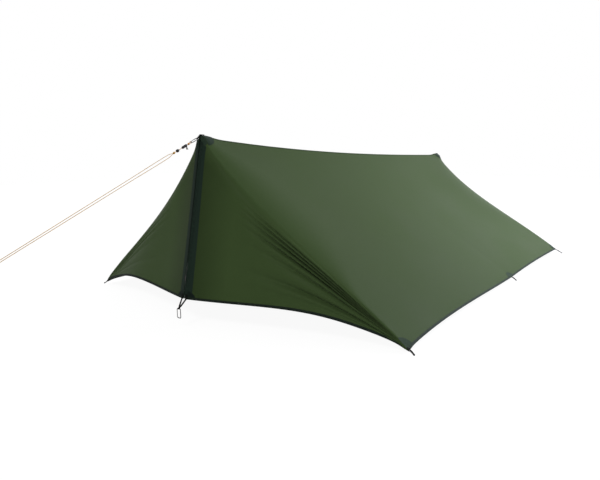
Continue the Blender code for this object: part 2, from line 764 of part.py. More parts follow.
def build_stake_loop(name, corner, outward, across, normal, finish):
    """Webbing sewn flat under the fabric and folded to a point, which rests on the ground."""
    seat = corner - normal * (FABRIC / 2 + SEAM_GAP + WEBBING / 2)
    half_nose = STAKE_LOOP_NOSE / 2
    tip_drop = -abs(across.z) * half_nose - abs(normal.z) * WEBBING / 2
    reach = (seat.z + tip_drop) / -outward.z
    half = STAKE_LOOP_SPREAD / 2
    width = STAKE_WEBBING_WIDTH
    tip = reach - STAKE_NOSE_DEPTH
    outer = [(-STAKE_LOOP_SEWN, -half), (-STAKE_LOOP_SEWN, half), (STAKE_MOUTH, half)]
    outer += [(reach, half_nose), (reach, -half_nose), (STAKE_MOUTH, -half)]
    leg = half - width
    inner = [(-STAKE_OPENING_BACK, -leg), (-STAKE_OPENING_BACK, leg), (STAKE_MOUTH, leg)]
    inner += [(tip, STAKE_OPENING_TIP), (tip, -STAKE_OPENING_TIP), (STAKE_MOUTH, -leg)]
    loop = bmesh.new()
    add_plate(loop, seat, outward, across, normal, outer, inner, WEBBING)
    add_object(name, loop, finish)


def build_stake_loops(grids, finish):
    us, vs = roof_lines()
    last = len(vs) - 1
    middle = us.index(middle_share())
    for side, word in ((-1, "right"), (1, "left")):
        points, normals = grids[side]
        for place, row, back in (("front", 0, 1), ("middle", middle, 0), ("rear", len(us) - 1, -1)):
            corner, normal = points[row][last], normals[row][last]
            hemward = points[row + back][last] - corner if back else Vector((0, 0, 0))
            slopeward = points[row][last - 2] - corner
            inward = slopeward.normalized() + hemward.normalized() * STAKE_LOOP_LEAN
            outward = -(inward - normal * inward.dot(normal)).normalized()
            across = normal.cross(outward).normalized()
            corner = corner + hemward.normalized() * STAKE_LOOP_INSET
            build_stake_loop("stake_loop_" + place + "_" + word, corner, outward, across, normal, finish)


def band_path(tail, bend, eye, lift_way, radius):
    """A strap's centre line: out along its tail, round the eye and back under itself.

    The eye lies across Y, and the strap reaches it square to Y.
    """
    way = (eye - bend) * Vector((1, 0, 1))
    way.normalize()
    over = Vector((-way.z, 0, way.x))
    if over.dot(lift_way) < 0:
        over = -over
    layer = WEBBING + SEAM_GAP
    neck = eye - way * radius * EYE_NECK
    loop = arc(eye, way, over, radius, EYE_WRAP, -EYE_WRAP, 10)
    upper = [tail + lift_way * layer, bend + lift_way * layer, neck + over * layer / 2]
    return upper + loop + [neck - over * layer / 2, bend, tail]


def add_band(mesh, path, sewn_way, width):
    """Sweep a flat strap along a path: its width runs along sewn_way where it is sewn, then along Y."""
    points, normals = [], []
    last = len(path) - 1
    for k, point in enumerate(path):
        ahead = path[min(k + 1, last)]
        behind = path[max(k - 1, 0)]
        width_way = sewn_way if k < 2 or k > last - 2 else Vector((0, 1, 0))
        normal = (ahead - behind).cross(width_way).normalized()
        points.append([point - width_way * width / 2, point + width_way * width / 2])
        normals.append([normal, normal])
    add_grid(mesh, points, normals, [-WEBBING / 2] * 2, [WEBBING / 2] * 2)


def eye_radius():
    return CARABINER_WIRE / 2 + EYE_PLAY + WEBBING / 2


def build_peak_tab(end, grids, finish):
    """A webbing tab over the end of the ridge, with an eye in front of the peak."""
    last = len(grids[1][0]) - 1
    tops = []
    for row in ((0, 1) if end == "front" else (last, last - 1)):
        points, normals = over_ridge(grids, (row, row), 1)
        tops.append(points[0][1] + normals[0][1] * (FABRIC / 2 + SEAM_GAP + TAPE))
    along = (tops[0] - tops[1]).normalized()
    lift_way = Vector((-along.z, 0, along.x))
    if lift_way.z < 0:
        lift_way = -lift_way
    bend = tops[0] + lift_way * (SEAM_GAP + WEBBING / 2)
    eye = bend + guy_direction(end) * PEAK_TAB_REACH
    path = band_path(bend - along * TAB_SEWN, bend, eye, lift_way, eye_radius())
    tab = bmesh.new()
    add_band(tab, path, Vector((0, 1, 0)), PEAK_TAB_WIDTH)
    add_object("peak_tab_" + end, tab, finish)
    return eye


def guy_direction(end):
    forward = -math.cos(GUY_SLOPE) if end == "front" else math.cos(GUY_SLOPE)
    return Vector((forward, 0, -math.sin(GUY_SLOPE)))


def foot_eye(end):
    """The middle of the carabiner's upper bar, which both foot tabs hold."""
    _, foot, _ = end_points(end)
    forward = -FOOT_EYE_REACH if end == "front" else FOOT_EYE_REACH
    return Vector((foot.x + forward, 0, foot.z - FOOT_EYE_DROP))


def build_foot_tab(end, side, word, grid, finish):
    """A narrow tab from a door's foot patch to the carabiner."""
    points, normals = grid
    outer = points[-1][-1].lerp(points[-1][-2], FOOT_TAB_PLACE)
    normal = normals[-1][-1]
    above = points[-2][-1].lerp(points[-2][-2], FOOT_TAB_PLACE)
    up = (above - outer).normalized()
    lift = FABRIC / 2 + SEAM_GAP + TAPE + SEAM_GAP + WEBBING / 2
    bend = outer + normal * lift
    eye = foot_eye(end) + Vector((0, side * (FOOT_TAB_WIDTH / 2 + SEAM_GAP), 0))
    path = band_path(bend + up * TAB_SEWN, bend, eye, normal, eye_radius())
    sewn_way = normal.cross(up).normalized()
    if sewn_way.y < 0:
        sewn_way = -sewn_way
    tab = bmesh.new()
    add_band(tab, path, sewn_way, FOOT_TAB_WIDTH)
    add_object("foot_tab_" + end + "_" + word, tab, finish, origin=points[0][-1])


# Carabiners

def build_carabiner(prefix, top, down, across, metal):
    """A bent wire body, open on one side, with a tongue that a slotted, sprung gate is pinned to."""
    wire = CARABINER_WIRE
    half = (CARABINER_WIDTH - wire) / 2
    length = CARABINER_LENGTH - wire
    r = CARABINER_CORNER
    normal = down.cross(across)
    gate_top, gate_low = GATE_START * length, GATE_STOP * length
    corners = ((r, 1), (r, -1), (length - r, -1), (length - r, 1))
    path = [top + down * gate_top + across * half]
    for k, (place, side) in enumerate(corners):
        centre = top + down * place + across * side * (half - r)
        path += arc(centre, across, down, r, -QUARTER * k, -QUARTER * (k + 1), 4)
    path.append(top + down * gate_low + across * half)
    body = bmesh.new()
    add_wire(body, path, wire)
    frame = add_object(prefix + "_body", body, metal, smooth_angle=50)
    radius = GATE_WIRE / 2
    pivot = path[0] + down * (GATE_PLAY + radius)

    tongue = bmesh.new()
    round_end = arc(pivot, across, down, TONGUE_WIDTH / 2, 0, 180, 6)
    root = path[0] - down * TONGUE_ROOT
    outline = [root + across * TONGUE_WIDTH / 2] + round_end + [root - across * TONGUE_WIDTH / 2]
    add_ring_tube(tongue, [[p + normal * lift for p in outline] for lift in (-TONGUE / 2, TONGUE / 2)])
    join_into(frame, add_object(prefix + "_tongue", tongue, metal))
    bore_radius = GATE_PIN / 2 + PIN_PLAY
    bore_base = pivot - normal * GATE_WIRE
    bore_profile = [(bore_radius, 0.0), (bore_radius, 2 * GATE_WIRE)]
    bore = bmesh.new()
    add_turned(bore, bore_profile, bore_base, normal, sides=PIN_SIDES)
    cut_from(frame, add_object(prefix + "_bore", bore, metal))

    gate_end = gate_low - GATE_PLAY - gate_top - GATE_PLAY - radius
    profile = []
    for k in range(4):
        turn = math.radians(90 * k / 4 + 8)
        profile.append((radius * math.sin(turn), -radius * math.cos(turn)))
    profile += [(radius, 0.0), (radius, gate_end - GATE_CHAMFER), (radius - GATE_CHAMFER, gate_end)]
    rod = bmesh.new()
    add_turned(rod, profile, pivot, down, sides=10)
    gate = add_object(prefix + "_gate", rod, metal, smooth_angle=50, origin=pivot)
    slot = bmesh.new()
    deep = TONGUE_WIDTH / 2 + TONGUE_PLAY
    sides = [pivot - down * GATE_WIRE, pivot + down * deep]
    outline = [sides[0] - across * GATE_WIRE, sides[0] + across * GATE_WIRE]
    outline += [sides[1] + across * GATE_WIRE, sides[1] - across * GATE_WIRE]
    open_half = TONGUE / 2 + TONGUE_PLAY
    add_ring_tube(slot, [[p + normal * lift for p in outline] for lift in (-open_half, open_half)])
    cut_from(gate, add_object(prefix + "_slot", slot, metal))
    bore = bmesh.new()
    add_turned(bore, bore_profile, bore_base, normal, sides=PIN_SIDES)
    cut_from(gate, add_object(prefix + "_bore", bore, metal))

    pin = bmesh.new()
    reach = radius - SEAM_GAP
    add_turned(pin, [(GATE_PIN / 2, -reach), (GATE_PIN / 2, reach)], pivot, normal, sides=PIN_SIDES)
    add_object(prefix + "_gate_pin", pin, metal, smooth_angle=50)


# The guy line

def build_tensioner(start, along, across, over, finish):
    """A flat-sided tensioner with a waist, bored for the line."""
    stations = ((0.0, 0.55, 0.70), (0.10, 0.92, 1.0), (0.32, 1.0, 1.0), (0.5, 0.72, 0.8))
    stations += ((0.68, 1.0, 1.0), (0.90, 0.92, 1.0), (1.0, 0.55, 0.70))
    sides = 12
    loops = []
    for share, wide, thick in stations:
        ring = []
        for k in range(sides):
            turn = math.tau * k / sides
            c, s = math.cos(turn), math.sin(turn)
            x = math.copysign(abs(c) ** TENSIONER_ROUNDING, c) * TENSIONER_THICKNESS / 2 * thick
            y = math.copysign(abs(s) ** TENSIONER_ROUNDING, s) * TENSIONER_WIDTH / 2 * wide
            ring.append(start + along * TENSIONER_LENGTH * share + across * x + over * y)
        loops.append(ring)
    for share in (1.0, 0.5, 0.0):
        ring = []
        for k in range(sides):
            turn = math.tau * k / sides
            out = across * math.cos(turn) + over * math.sin(turn)
            ring.append(start + along * TENSIONER_LENGTH * share + out * TENSIONER_BORE / 2)
        loops.append(ring)
    body = bmesh.new()
    verts = [[body.verts.new(p) for p in ring] for ring in loops]
    for near, far in zip(verts, verts[1:] + verts[:1]):
        for k in range(sides):
            body.faces.new((near[k], near[(k + 1) % sides], far[(k + 1) % sides], far[k]))
    add_object("guy_tensioner", body, finish, smooth_angle=35, origin=start)


def build_runner(start, along, finish):
    """A bored bead that stops the tensioner."""
    outer, bore = RUNNER_DIAMETER / 2, RUNNER_BORE / 2
    profile = [(bore, 0.0)]
    for k in range(7):
        turn = math.pi * (k + 0.5) / 7
        profile.append((outer * math.sin(turn) ** RUNNER_FULLNESS, RUNNER_LENGTH * (1 - math.cos(turn)) / 2))
    profile.append((bore, RUNNER_LENGTH))
    body = bmesh.new()
    add_turned(body, profile, start, along, sides=12, closed=True)
    add_object("guy_runner", body, finish, smooth_angle=50)


def knot_radius():
    return CORD + SEAM_GAP * 1.5 + CORD / 2 + SEAM_GAP


def add_knot(mesh, start, along, across, over):
    """Turns of cord wound round the strands that they hold."""
    steps = 9
    path = []
    for k in range(KNOT_TURNS * steps + 1):
        turn = math.tau * k / steps
        out = across * math.cos(turn) + over * math.sin(turn)
        path.append(start + along * (CORD / 2 + KNOT_PITCH * k / steps) + out * knot_radius())
    add_wire(mesh, path, KNOT_CORD, sides=6)


def build_guy(eye, finish, plastic):
    """The line from the carabiner's far bar to the bight, with its knots, tensioner and runner."""
    along = guy_direction("front")
    across = Vector((0, 1, 0))
    over = Vector((-along.z, 0, along.x))
    if over.z < 0:
        over = -over
    bar = eye + along * (CARABINER_LENGTH - CARABINER_WIRE)
    half_gap = CORD / 2 + SEAM_GAP / 2
    knot_end = KNOT_START + KNOT_PITCH * KNOT_TURNS + CORD

    def place(run, lift):
        return bar + along * run + over * lift

    wrap = CARABINER_WIRE / 2 + SEAM_GAP * 2 + CORD / 2
    join = LINE_KNOT_START + KNOT_PITCH * KNOT_JOIN
    strand = [(knot_end, half_gap), (KNOT_START, half_gap)]
    strand.append((KNOT_START * BAR_WRAP_START, wrap * BAR_WRAP_SIDE))
    leader = [place(run, lift) for run, lift in strand]
    leader += [place(wrap * run, wrap * lift) for run, lift in BAR_WRAP]
    leader += [place(run, -lift) for run, lift in reversed(strand)]
    leader += [place(run, 0.0) for run in (TENSIONER_START, RUNNER_START, join)]
    add_cord("guy_leader", smooth_route(leader, 3), finish)
    build_tensioner(place(TENSIONER_START, 0.0), along, across, over, plastic)
    build_runner(place(RUNNER_START, 0.0), along, plastic)
    first = join + SEAM_GAP
    knot_stop = LINE_KNOT_START + KNOT_PITCH * KNOT_TURNS + CORD
    stations = []
    for side in (1, -1):
        run = [place(at, side * half_gap) for at in (first, knot_stop, knot_stop + CORD)]
        run += [place(knot_stop + at, side * LINE_SPREAD * share) for at, share in STRAND_PLACES]
        run += [place(LINE_LENGTH - at, side * lift) for at, lift in BIGHT_PLACES]
        stations += run + [place(LINE_LENGTH, 0.0)] if side > 0 else list(reversed(run))
    add_cord("guy_line", smooth_route(stations, 2), finish)
    for name, start in (("guy_knot_peak", KNOT_START), ("guy_knot_runner", LINE_KNOT_START)):
        knot = bmesh.new()
        add_knot(knot, place(start, 0.0), along, across, over)
        add_object(name, knot, finish, smooth_angle=50)


def main():
    clear_scene()
    fabric = material("coated ripstop fabric", OLIVE, 0.45)
    tape = material("sewn tape", BLACK, 0.7)
    webbing = material("webbing", BLACK, 0.8)
    zip_finish = material("zip tape and coil", BLACK, 0.6)
    metal = material("carabiner alloy", STEEL, 0.3, 1.0)
    slider_metal = material("slider metal", STEEL, 0.4, 1.0)
    cord = material("guy cord", STRAW, 0.7)
    plastic = material("black plastic", BLACK, 0.5)

    grids = build_roof(fabric, tape)
    build_stake_loops(grids, webbing)
    for end in ("front", "rear"):
        for side, word in ((-1, "right"), (1, "left")):
            grid = build_leaf(end, side, word, fabric, tape, zip_finish)
            build_foot_tab(end, side, word, grid, webbing)
        hinge, axes = build_slider(end, slider_metal)
        build_pull(end, hinge, axes, plastic)
        build_carabiner("foot_carabiner_" + end, foot_eye(end), -UP, Vector((0, 1, 0)), metal)
    eye = build_peak_tab("front", grids, webbing)
    build_peak_tab("rear", grids, webbing)
    build_carabiner("peak_carabiner", eye, guy_direction("front"), Vector((0, 1, 0)), metal)
    build_guy(eye, cord, plastic)


main()
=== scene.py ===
"""The looks of the camping tarp: cloth, tapes, zips, webbing, carabiners and guy line round the CAD frame.

The origin is on the ground under the middle of the ridge.  +X runs along the ridge to the rear peak, +Z
points up and the right side is at -Y.  Everything is in metres.
"""

import math

import bmesh
import bpy
import numpy as np
from mathutils import Matrix, Vector


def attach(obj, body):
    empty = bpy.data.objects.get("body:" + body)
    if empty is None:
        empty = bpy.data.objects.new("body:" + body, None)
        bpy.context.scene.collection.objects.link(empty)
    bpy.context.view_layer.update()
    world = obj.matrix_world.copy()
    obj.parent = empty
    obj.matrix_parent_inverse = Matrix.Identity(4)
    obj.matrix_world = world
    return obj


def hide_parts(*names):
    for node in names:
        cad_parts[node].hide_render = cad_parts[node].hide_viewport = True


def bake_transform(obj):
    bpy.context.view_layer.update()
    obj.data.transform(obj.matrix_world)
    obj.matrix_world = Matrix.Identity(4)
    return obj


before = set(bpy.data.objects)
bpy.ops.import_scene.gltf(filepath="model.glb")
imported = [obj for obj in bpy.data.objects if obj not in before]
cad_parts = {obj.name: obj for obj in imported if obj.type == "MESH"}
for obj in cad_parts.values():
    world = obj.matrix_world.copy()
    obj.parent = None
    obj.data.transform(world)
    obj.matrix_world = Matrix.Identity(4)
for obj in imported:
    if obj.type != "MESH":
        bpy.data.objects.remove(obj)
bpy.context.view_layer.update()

MM = 0.001
QUARTER = math.pi / 2
UP = np.array((0.0, 0.0, 1.0))
ACROSS = np.array((0.0, 1.0, 0.0))
SIDES = {-1: "right", 1: "left"}
ENDS = ("front", "rear")

# Where the photograph's camera stands, and how it is turned, in degrees
CAMERA_PLACE = (-4.416, -2.66, 1.16)
CAMERA_YAW = 53.4
CAMERA_DIP = 9.9
CAMERA_ROLL = -0.6
CAMERA_LENS = 33.54

# The CAD model's main sizes; a bow has a height and a lean towards its start
RIDGE_SPAN = 3.772
SLANT = 1.814
DOOR_FOOT_HEIGHT = 0.183
DOOR_FOOT_REACH = 0.200
PEAKS = {"front": np.array((-RIDGE_SPAN / 2, 0, 1.2)), "rear": np.array((RIDGE_SPAN / 2, 0, 1.0))}
CORNERS = {
    "front": np.array((-RIDGE_SPAN / 2 + 0.176, -1.388, 0.031)),
    "rear": np.array((RIDGE_SPAN / 2 - 0.132, -1.393, 0.042)),
}
MIDDLE = np.array((2.206 - RIDGE_SPAN / 2, -1.359, 0.028))
FEET = {
    "front": np.array((-RIDGE_SPAN / 2 - DOOR_FOOT_REACH, 0.0, DOOR_FOOT_HEIGHT)),
    "rear": np.array((RIDGE_SPAN / 2 + DOOR_FOOT_REACH, 0.0, DOOR_FOOT_HEIGHT)),
}
ROOF_ENDS = {"front": (1, 0.0), "rear": (-1, 1.0)}     # the way in from an end, and its share of the ridge
PEAK_EYES = {"front": np.array((-1.91187, 0.0, 1.19162)), "rear": np.array((1.91238, 0.0, 0.99163))}
FOOT_EYES = {"front": np.array((-2.132, 0.0, 0.129)), "rear": np.array((2.132, 0.0, 0.129))}
RIDGE_SAG = (0.042, 0.3)
CREASE_BOW = {"front": (0.050, 0.85), "rear": (0.055, 0.84)}
HEM_BOW = {"front": (0.022, 0.75), "rear": (0.011, 0.0)}
DOOR_HEM_BOW = (0.065, 0.55)
ROOF_SAG = 0.018
DOOR_SAG = 0.012
FABRIC = 1.2 * MM
GAP = 0.3 * MM

# Guy line, from the peak carabiner's bar; a knot's cord is pulled tight
CORD = 3.0 * MM
TIGHT_CORD = 0.94 * CORD
GUY_SLOPE = math.radians(23.8)
CARABINER_LENGTH = 66 * MM
CARABINER_WIDTH = 36 * MM
CARABINER_WIRE = 5.4 * MM
CARABINER_BEND = 7 * MM
KNOT_START = 16 * MM
KNOT_TURNS = 3
KNOT_PITCH = 3.5 * MM
TENSIONER_START = 38 * MM
TENSIONER_LENGTH = 46 * MM
RUNNER_START = 112 * MM
RUNNER_LENGTH = 22 * MM
LINE_KNOT_START = 148 * MM
LINE_JOIN = LINE_KNOT_START + 1.4 * KNOT_PITCH
LINE_LENGTH = 1.460
LINE_SPREAD = 9.0 * MM
BIGHT_RADIUS = 11 * MM
HALF_GAP = CORD / 2 + GAP / 2
BAR_WRAP = ((0.0, 1.12), (-0.8, 0.7), (-1.0, 0.0), (-0.8, -0.7), (0.0, -1.12))     # in wrap radii
STRAND_PLACES = ((0.045, 1.0), (0.35, 0.82), (0.80, 0.66))     # past the knot, with shares of the spread
BIGHT_PLACES = (     # short of the bight's end, with distances from the line's middle
    (0.07, 0.55 * LINE_SPREAD),
    (0.03, 0.72 * BIGHT_RADIUS),
    (BIGHT_RADIUS, BIGHT_RADIUS),
    (0.3 * BIGHT_RADIUS, 0.72 * BIGHT_RADIUS),
)

# Folds that fan out of the peg corner: places from crease to hem, widths and depths, ridges below zero
FOLDS = ((0.120, 0.030, -0.25), (0.172, 0.012, 0.55), (0.202, 0.013, -0.45), (0.233, 0.012, 0.75))
FOLDS += ((0.263, 0.014, -0.55), (0.295, 0.013, 0.90), (0.329, 0.017, -0.55), (0.366, 0.016, 1.0))
FOLDS += ((0.42, 0.030, -0.45), (0.49, 0.024, 0.65), (0.60, 0.045, -0.40), (0.71, 0.030, 0.80))
FOLDS += ((0.79, 0.04, -0.5),)
FOLD_DEPTHS = {-1: 19.0 * MM, 1: 3.0 * MM}     # the left leaf is drawn smoother

# The soft fold between roof and door: how fast it widens below the peak on each side, and its bulge's reach
ROOF_CONE = 1.15
DOOR_CONE = 0.55
CONE_START = 4 * MM
BULGE_SHARE = 0.9
BULGE_REACH = 0.45

# Each cap that the doubled cloth makes over a peak: its height, and its middle's distance behind the peak
CAPS = {"front": (12 * MM, 30 * MM), "rear": (13 * MM, 45 * MM)}
CAP_REACH = (95 * MM, 46 * MM, 60 * MM)     # along the ridge, across it and down
BLUNT_WIDTH = 17 * MM     # how far the stiff patches hold the cloth out beside a peak
BLUNT_REACH = 80 * MM
PULLS = {"front": 10 * MM, "rear": 3 * MM}     # how far a peg loop draws its corner down
PULL_REACH = 55 * MM

# The cloth's pieces
CUT = 0.040     # share of the ridge at which the roof's cloth ends and the doors' cloth begins
RIDGE_EDGE = 1.2 * MM / SLANT
CORNER_STOP = 0.9965
DOOR_EDGE = 9 * MM
ROOF_OUT = np.array((0.0, -0.64, 0.77))

# Bindings, tapes and patches; heights are from the middle of the cloth
HEM_WIDTH = 14 * MM
HEM_SEWN = 12 * MM
HEM_INNER = 1.25 * MM
HEM_OUTER = 1.90 * MM
HEM_CROWN = 0.12 * MM
HEM_LIP = 0.8 * MM
DOOR_HEM_LENGTH = 1.4
PATCH_LOW = 0.70 * MM
PATCH_HIGH = 1.15 * MM
PEAK_PATCH_LOW = 2.3 * MM
PEAK_PATCH_HIGH = 3.0 * MM
SEAM_LOW = 0.8 * MM
SEAM_HIGH = 1.8 * MM
RIDGE_PLACES = (11, 8, 4, 1.2)     # down from the ridge, in millimetres
RIDGE_SEWN = (9.4, 4.0)
CORNER_START = 0.0035
ROOF_INSET = 0.0006     # share of the ridge that every patch stays in from its ends
CORNER_PATCH = (78 * MM, 84 * MM)
MIDDLE_PATCH = (62 * MM, 58 * MM)
RIDGE_PATCH = (96 * MM, 72 * MM)
TIP_RADII = (24 * MM, 20 * MM)
TIP_HIGH = 2.3 * MM
FOOT_PATCH = (70 * MM, 56 * MM)
HEAD_PATCH = (56 * MM, 46 * MM)
DOOR_PATCH_HIGH = 0.98 * MM
HEAD_LOW = 0.86 * MM
SEWN_SHARE = 0.93     # of a patch's radii, where its stitches run
STITCH_PITCH = 3.6 * MM
STITCH_LENGTH = 2.7 * MM
STITCH_SIZE = 0.55 * MM

# Zips; places are distances from the zip's middle line, in millimetres
ZIP_TOP = 28 * MM
ZIP_END = 3 * MM
TAPE_LOW = 0.8 * MM
TAPE_HIGH = 1.6 * MM
TAPE_PLACES = (24, 20, 15, 10, 7, 5, 3.5, 2.0, 0.9)
TAPE_SEWN = (22, 12)
FACING_LOW = 0.62 * MM
FACING_HIGH = 0.80 * MM
FACING_PLACES = (56, 48, 40, 32, 22)
FACING_SEWN = 54
COIL_MIDDLE = 2.35 * MM
COIL_PITCH = 2.0 * MM
COIL_WIRE = 0.9 * MM
COIL_NEAR = -0.6 * MM     # the two coils reach past each other
COIL_FAR = 3.6 * MM
COIL_RISE = 0.75 * MM

# Webbing
WEBBING_THICK = 1.4 * MM
EYE_RADIUS = 3.9 * MM
TACK_LIFT = WEBBING_THICK * 1.5 + GAP + 0.2 * MM
TACK_TURNS = 18
TACK_LENGTH = 5 * MM
FOOT_TAB_PLACE = 17.25 * MM
LOOP_WIDTH = 8 * MM
LOOP_THICK = 0.9 * MM
LOOP_INSET = 12 * MM
LOOP_MOUTH = 7.5 * MM     # from the loop's middle to each leg, at the hem
LOOP_NOSE = 4.5 * MM
LOOP_NECK = 3.5 * MM
LOOP_SEWN = 26 * MM

# Looks: the painted shade on the doors beside the zip, the grain of hard surfaces and the ribs of tapes
PAINTED_SHADE_RUN = 0.12       # how far past the crease the painted shade has set in
PAINTED_SHADE_REACH = 0.36     # and how far from the zip the painted shade ends
HARD_GRAIN = 400.0
RIB = 1.6 * MM


# Vectors

def norm(vectors):
    return np.linalg.norm(vectors, axis=-1)


def unit(vectors):
    return vectors / np.linalg.norm(vectors, axis=-1, keepdims=True)


def smooth(x):
    x = np.clip(x, 0.0, 1.0)
    return x * x * (3 - 2 * x)


def lerp(a, b, t):
    return a + (b - a) * np.asarray(t)[..., None]


def running(path):
    """How far along a path each of its points is."""
    return np.concatenate([[0], np.cumsum(norm(np.diff(path, axis=0)))])


def facing(vector, way):
    """The vector or its opposite, whichever points more along way."""
    return vector * np.sign(vector @ way)


def square(vectors, line):
    """The unit vectors square to a line, nearest to the given ones."""
    way = unit(line)
    return unit(vectors - way * (vectors * way).sum(-1, keepdims=True))


# The camera

def add_object(name, data):
    made = bpy.data.objects.new(name, data)
    bpy.context.collection.objects.link(made)
    return made


def aim_camera():
    yaw, dip, roll = (math.radians(x) for x in (CAMERA_YAW, CAMERA_DIP, CAMERA_ROLL))
    lens = bpy.data.cameras.new("camera")
    lens.lens = CAMERA_LENS
    lens.sensor_width = 36
    lens.clip_end = 60
    made = add_object("camera", lens)
    level = Matrix.Rotation(-yaw, 4, "Z") @ Matrix.Rotation(QUARTER - dip, 4, "X")
    made.matrix_world = Matrix.Translation(CAMERA_PLACE) @ level @ Matrix.Rotation(roll, 4, "Z")
    bpy.context.scene.camera = made


aim_camera()


# Materials

class Nodes:
    """A short way to write the nodes of a material or of the world."""

    def __init__(self, owner):
        owner.use_nodes = True
        self.owner = owner
        self.tree = owner.node_tree
        self.shader = self.tree.nodes.get("Principled BSDF")

    def fill(self, node, inputs):
        for key, value in dict(inputs).items():
            if isinstance(value, bpy.types.NodeSocket):
                self.tree.links.new(value, node.inputs[key])
            else:
                node.inputs[key].default_value = value
        return node

    def add(self, kind, inputs=(), **settings):
        node = self.tree.nodes.new("ShaderNode" + kind)
        for key, value in settings.items():
            setattr(node, key, value)
        return self.fill(node, inputs)

    def place(self, scale=(1, 1, 1), kind="UV"):
        """The place on the cloth in metres, times scale."""
        spot = self.add("TexCoord").outputs[kind]
        return self.add("Mapping", {"Vector": spot, "Scale": scale}).outputs["Vector"]

    def noise(self, place, scale, detail=2.0, roughness=0.5):
        inputs = {"Vector": place, "Scale": scale, "Detail": detail, "Roughness": roughness}
        return self.add("TexNoise", inputs).outputs["Fac"]

    def wave(self, scale, direction):
        inputs = {"Vector": self.place(scale), "Scale": 1.0, "Distortion": 0.0, "Detail": 0.0}
        return self.add("TexWave", inputs, bands_direction=direction).outputs["Fac"]

    def spread(self, value, low=0.0, high=1.0, start=0.0, stop=1.0):
        inputs = {"Value": value, "From Min": start, "From Max": stop, "To Min": low, "To Max": high}
        return self.add("MapRange", inputs).outputs["Result"]

    def math(self, operation, a, b=0.5):
        return self.add("Math", {0: a, 1: b}, operation=operation).outputs[0]

    def mix(self, share, a, b):
        return self.add("Mix", {0: share, 6: a, 7: b}, data_type="RGBA").outputs[2]

    def bump(self, height, distance, strength, under=None):
        inputs = {"Height": height, "Distance": distance, "Strength": strength}
        if under is not None:
            inputs["Normal"] = under
        return self.add("Bump", inputs).outputs["Normal"]

    def finish(self, colour, roughness, normal):
        self.fill(self.shader, {"Base Color": colour, "Roughness": roughness, "Normal": normal})
        return self.owner


def new_material(name, colour, roughness, metallic=0.0, specular=0.5):
    n = Nodes(bpy.data.materials.new(name))
    inputs = {"Base Color": shade(colour), "Roughness": roughness, "Metallic": metallic}
    n.fill(n.shader, {**inputs, "Specular IOR Level": specular})
    return n


def shade(colour, factor=1.0):
    return (*(c * factor for c in colour), 1.0)


def cloth_material(name, colour, roughness=0.55, painted_shade=0.0):
    """Coated ripstop: a fine square grid in a plain weave, with a satin face.

    On the doors the cloth gets painted shade towards the zip, darker by the given share.
    """
    n = new_material(name, colour, roughness, specular=0.012)
    place = n.place()
    clouds = n.noise(place, 1.7)
    grain = n.noise(place, 240.0)
    inputs = {"Vector": n.place((160, 160, 1)), "Scale": 1.0, "Mortar Size": 0.07, "Mortar Smooth": 0.6}
    inputs.update({"Brick Width": 1.0, "Row Height": 1.0, "Bias": 0.0})
    grid = n.add("TexBrick", inputs, offset=0.0, squash=1.0).outputs["Fac"]
    tone = n.mix(n.spread(clouds, 0.0, 1.0, 0.3, 0.7), shade(colour, 0.96), shade(colour, 1.04))
    tone = n.mix(n.spread(grain, 0.0, 0.35), tone, shade(colour, 0.86))
    tone = n.mix(n.spread(grid, 0.0, 0.30), tone, shade(colour, 1.45))
    rough = n.spread(clouds, roughness - 0.04, roughness + 0.04, 0.3, 0.7)
    crumple = n.bump(n.noise(place, 9.0, 4.0, 0.55), 0.004, 0.10)
    normal = n.bump(grid, 0.00015, 0.35, crumple)
    # Painted shade: the doors' cloth darkens towards the zip, setting in past the crease and fading out away
    # from the zip
    if painted_shade:
        spot = n.add("SeparateXYZ", {"Vector": place}).outputs
        before = n.math("MULTIPLY", spot["X"], -1.0)
        past = n.math("MAXIMUM", before, n.math("SUBTRACT", spot["X"], RIDGE_SPAN))
        on_door = n.spread(past, stop=PAINTED_SHADE_RUN)
        shade_near_zip = n.spread(n.math("ABSOLUTE", spot["Y"]), painted_shade, 0.0, stop=PAINTED_SHADE_REACH)
        tone = n.mix(n.math("MULTIPLY", on_door, shade_near_zip), tone, shade(colour, 0.0))
    n.fill(n.shader, {"Sheen Weight": 0.03, "Sheen Roughness": 0.4})
    return n.finish(tone, rough, normal)


def woven_material(name, colour, roughness, rib, depth, across=1.0):
    """Ribbed woven tape or webbing: ribs along it, crossed by picks."""
    n = new_material(name, colour, roughness, specular=0.03)
    worn = n.noise(n.place(), 60.0, 3.0)
    turn = math.tau / rib / 20
    weave = n.math("MULTIPLY", n.wave((turn, 0, 1), "X"), n.wave((0, turn * across, 1), "Y"))
    tone = n.mix(weave, shade(colour, 0.6), shade(colour, 1.35))
    tone = n.mix(n.spread(worn, 0.0, 0.5, 0.45, 0.75), tone, shade(colour, 1.8))
    return n.finish(tone, n.spread(worn, roughness - 0.06, roughness + 0.06), n.bump(weave, depth, 0.6))


def braid_material(name, colour, dark):
    """A braided cord: two sets of strands that cross on a slant."""
    n = new_material(name, colour, 0.62, specular=0.35)
    braid = n.math("MAXIMUM", *(n.wave((70, slant, 1), "DIAGONAL") for slant in (16, -16)))
    fleck = n.noise(n.place(), 30.0)
    tone = n.mix(braid, shade(dark), shade(colour))
    tone = n.mix(n.spread(fleck, 0.0, 0.4, 0.4, 0.8), tone, shade(colour, 1.2))
    return n.finish(tone, n.spread(fleck, 0.55, 0.7), n.bump(braid, 0.0004, 0.8))


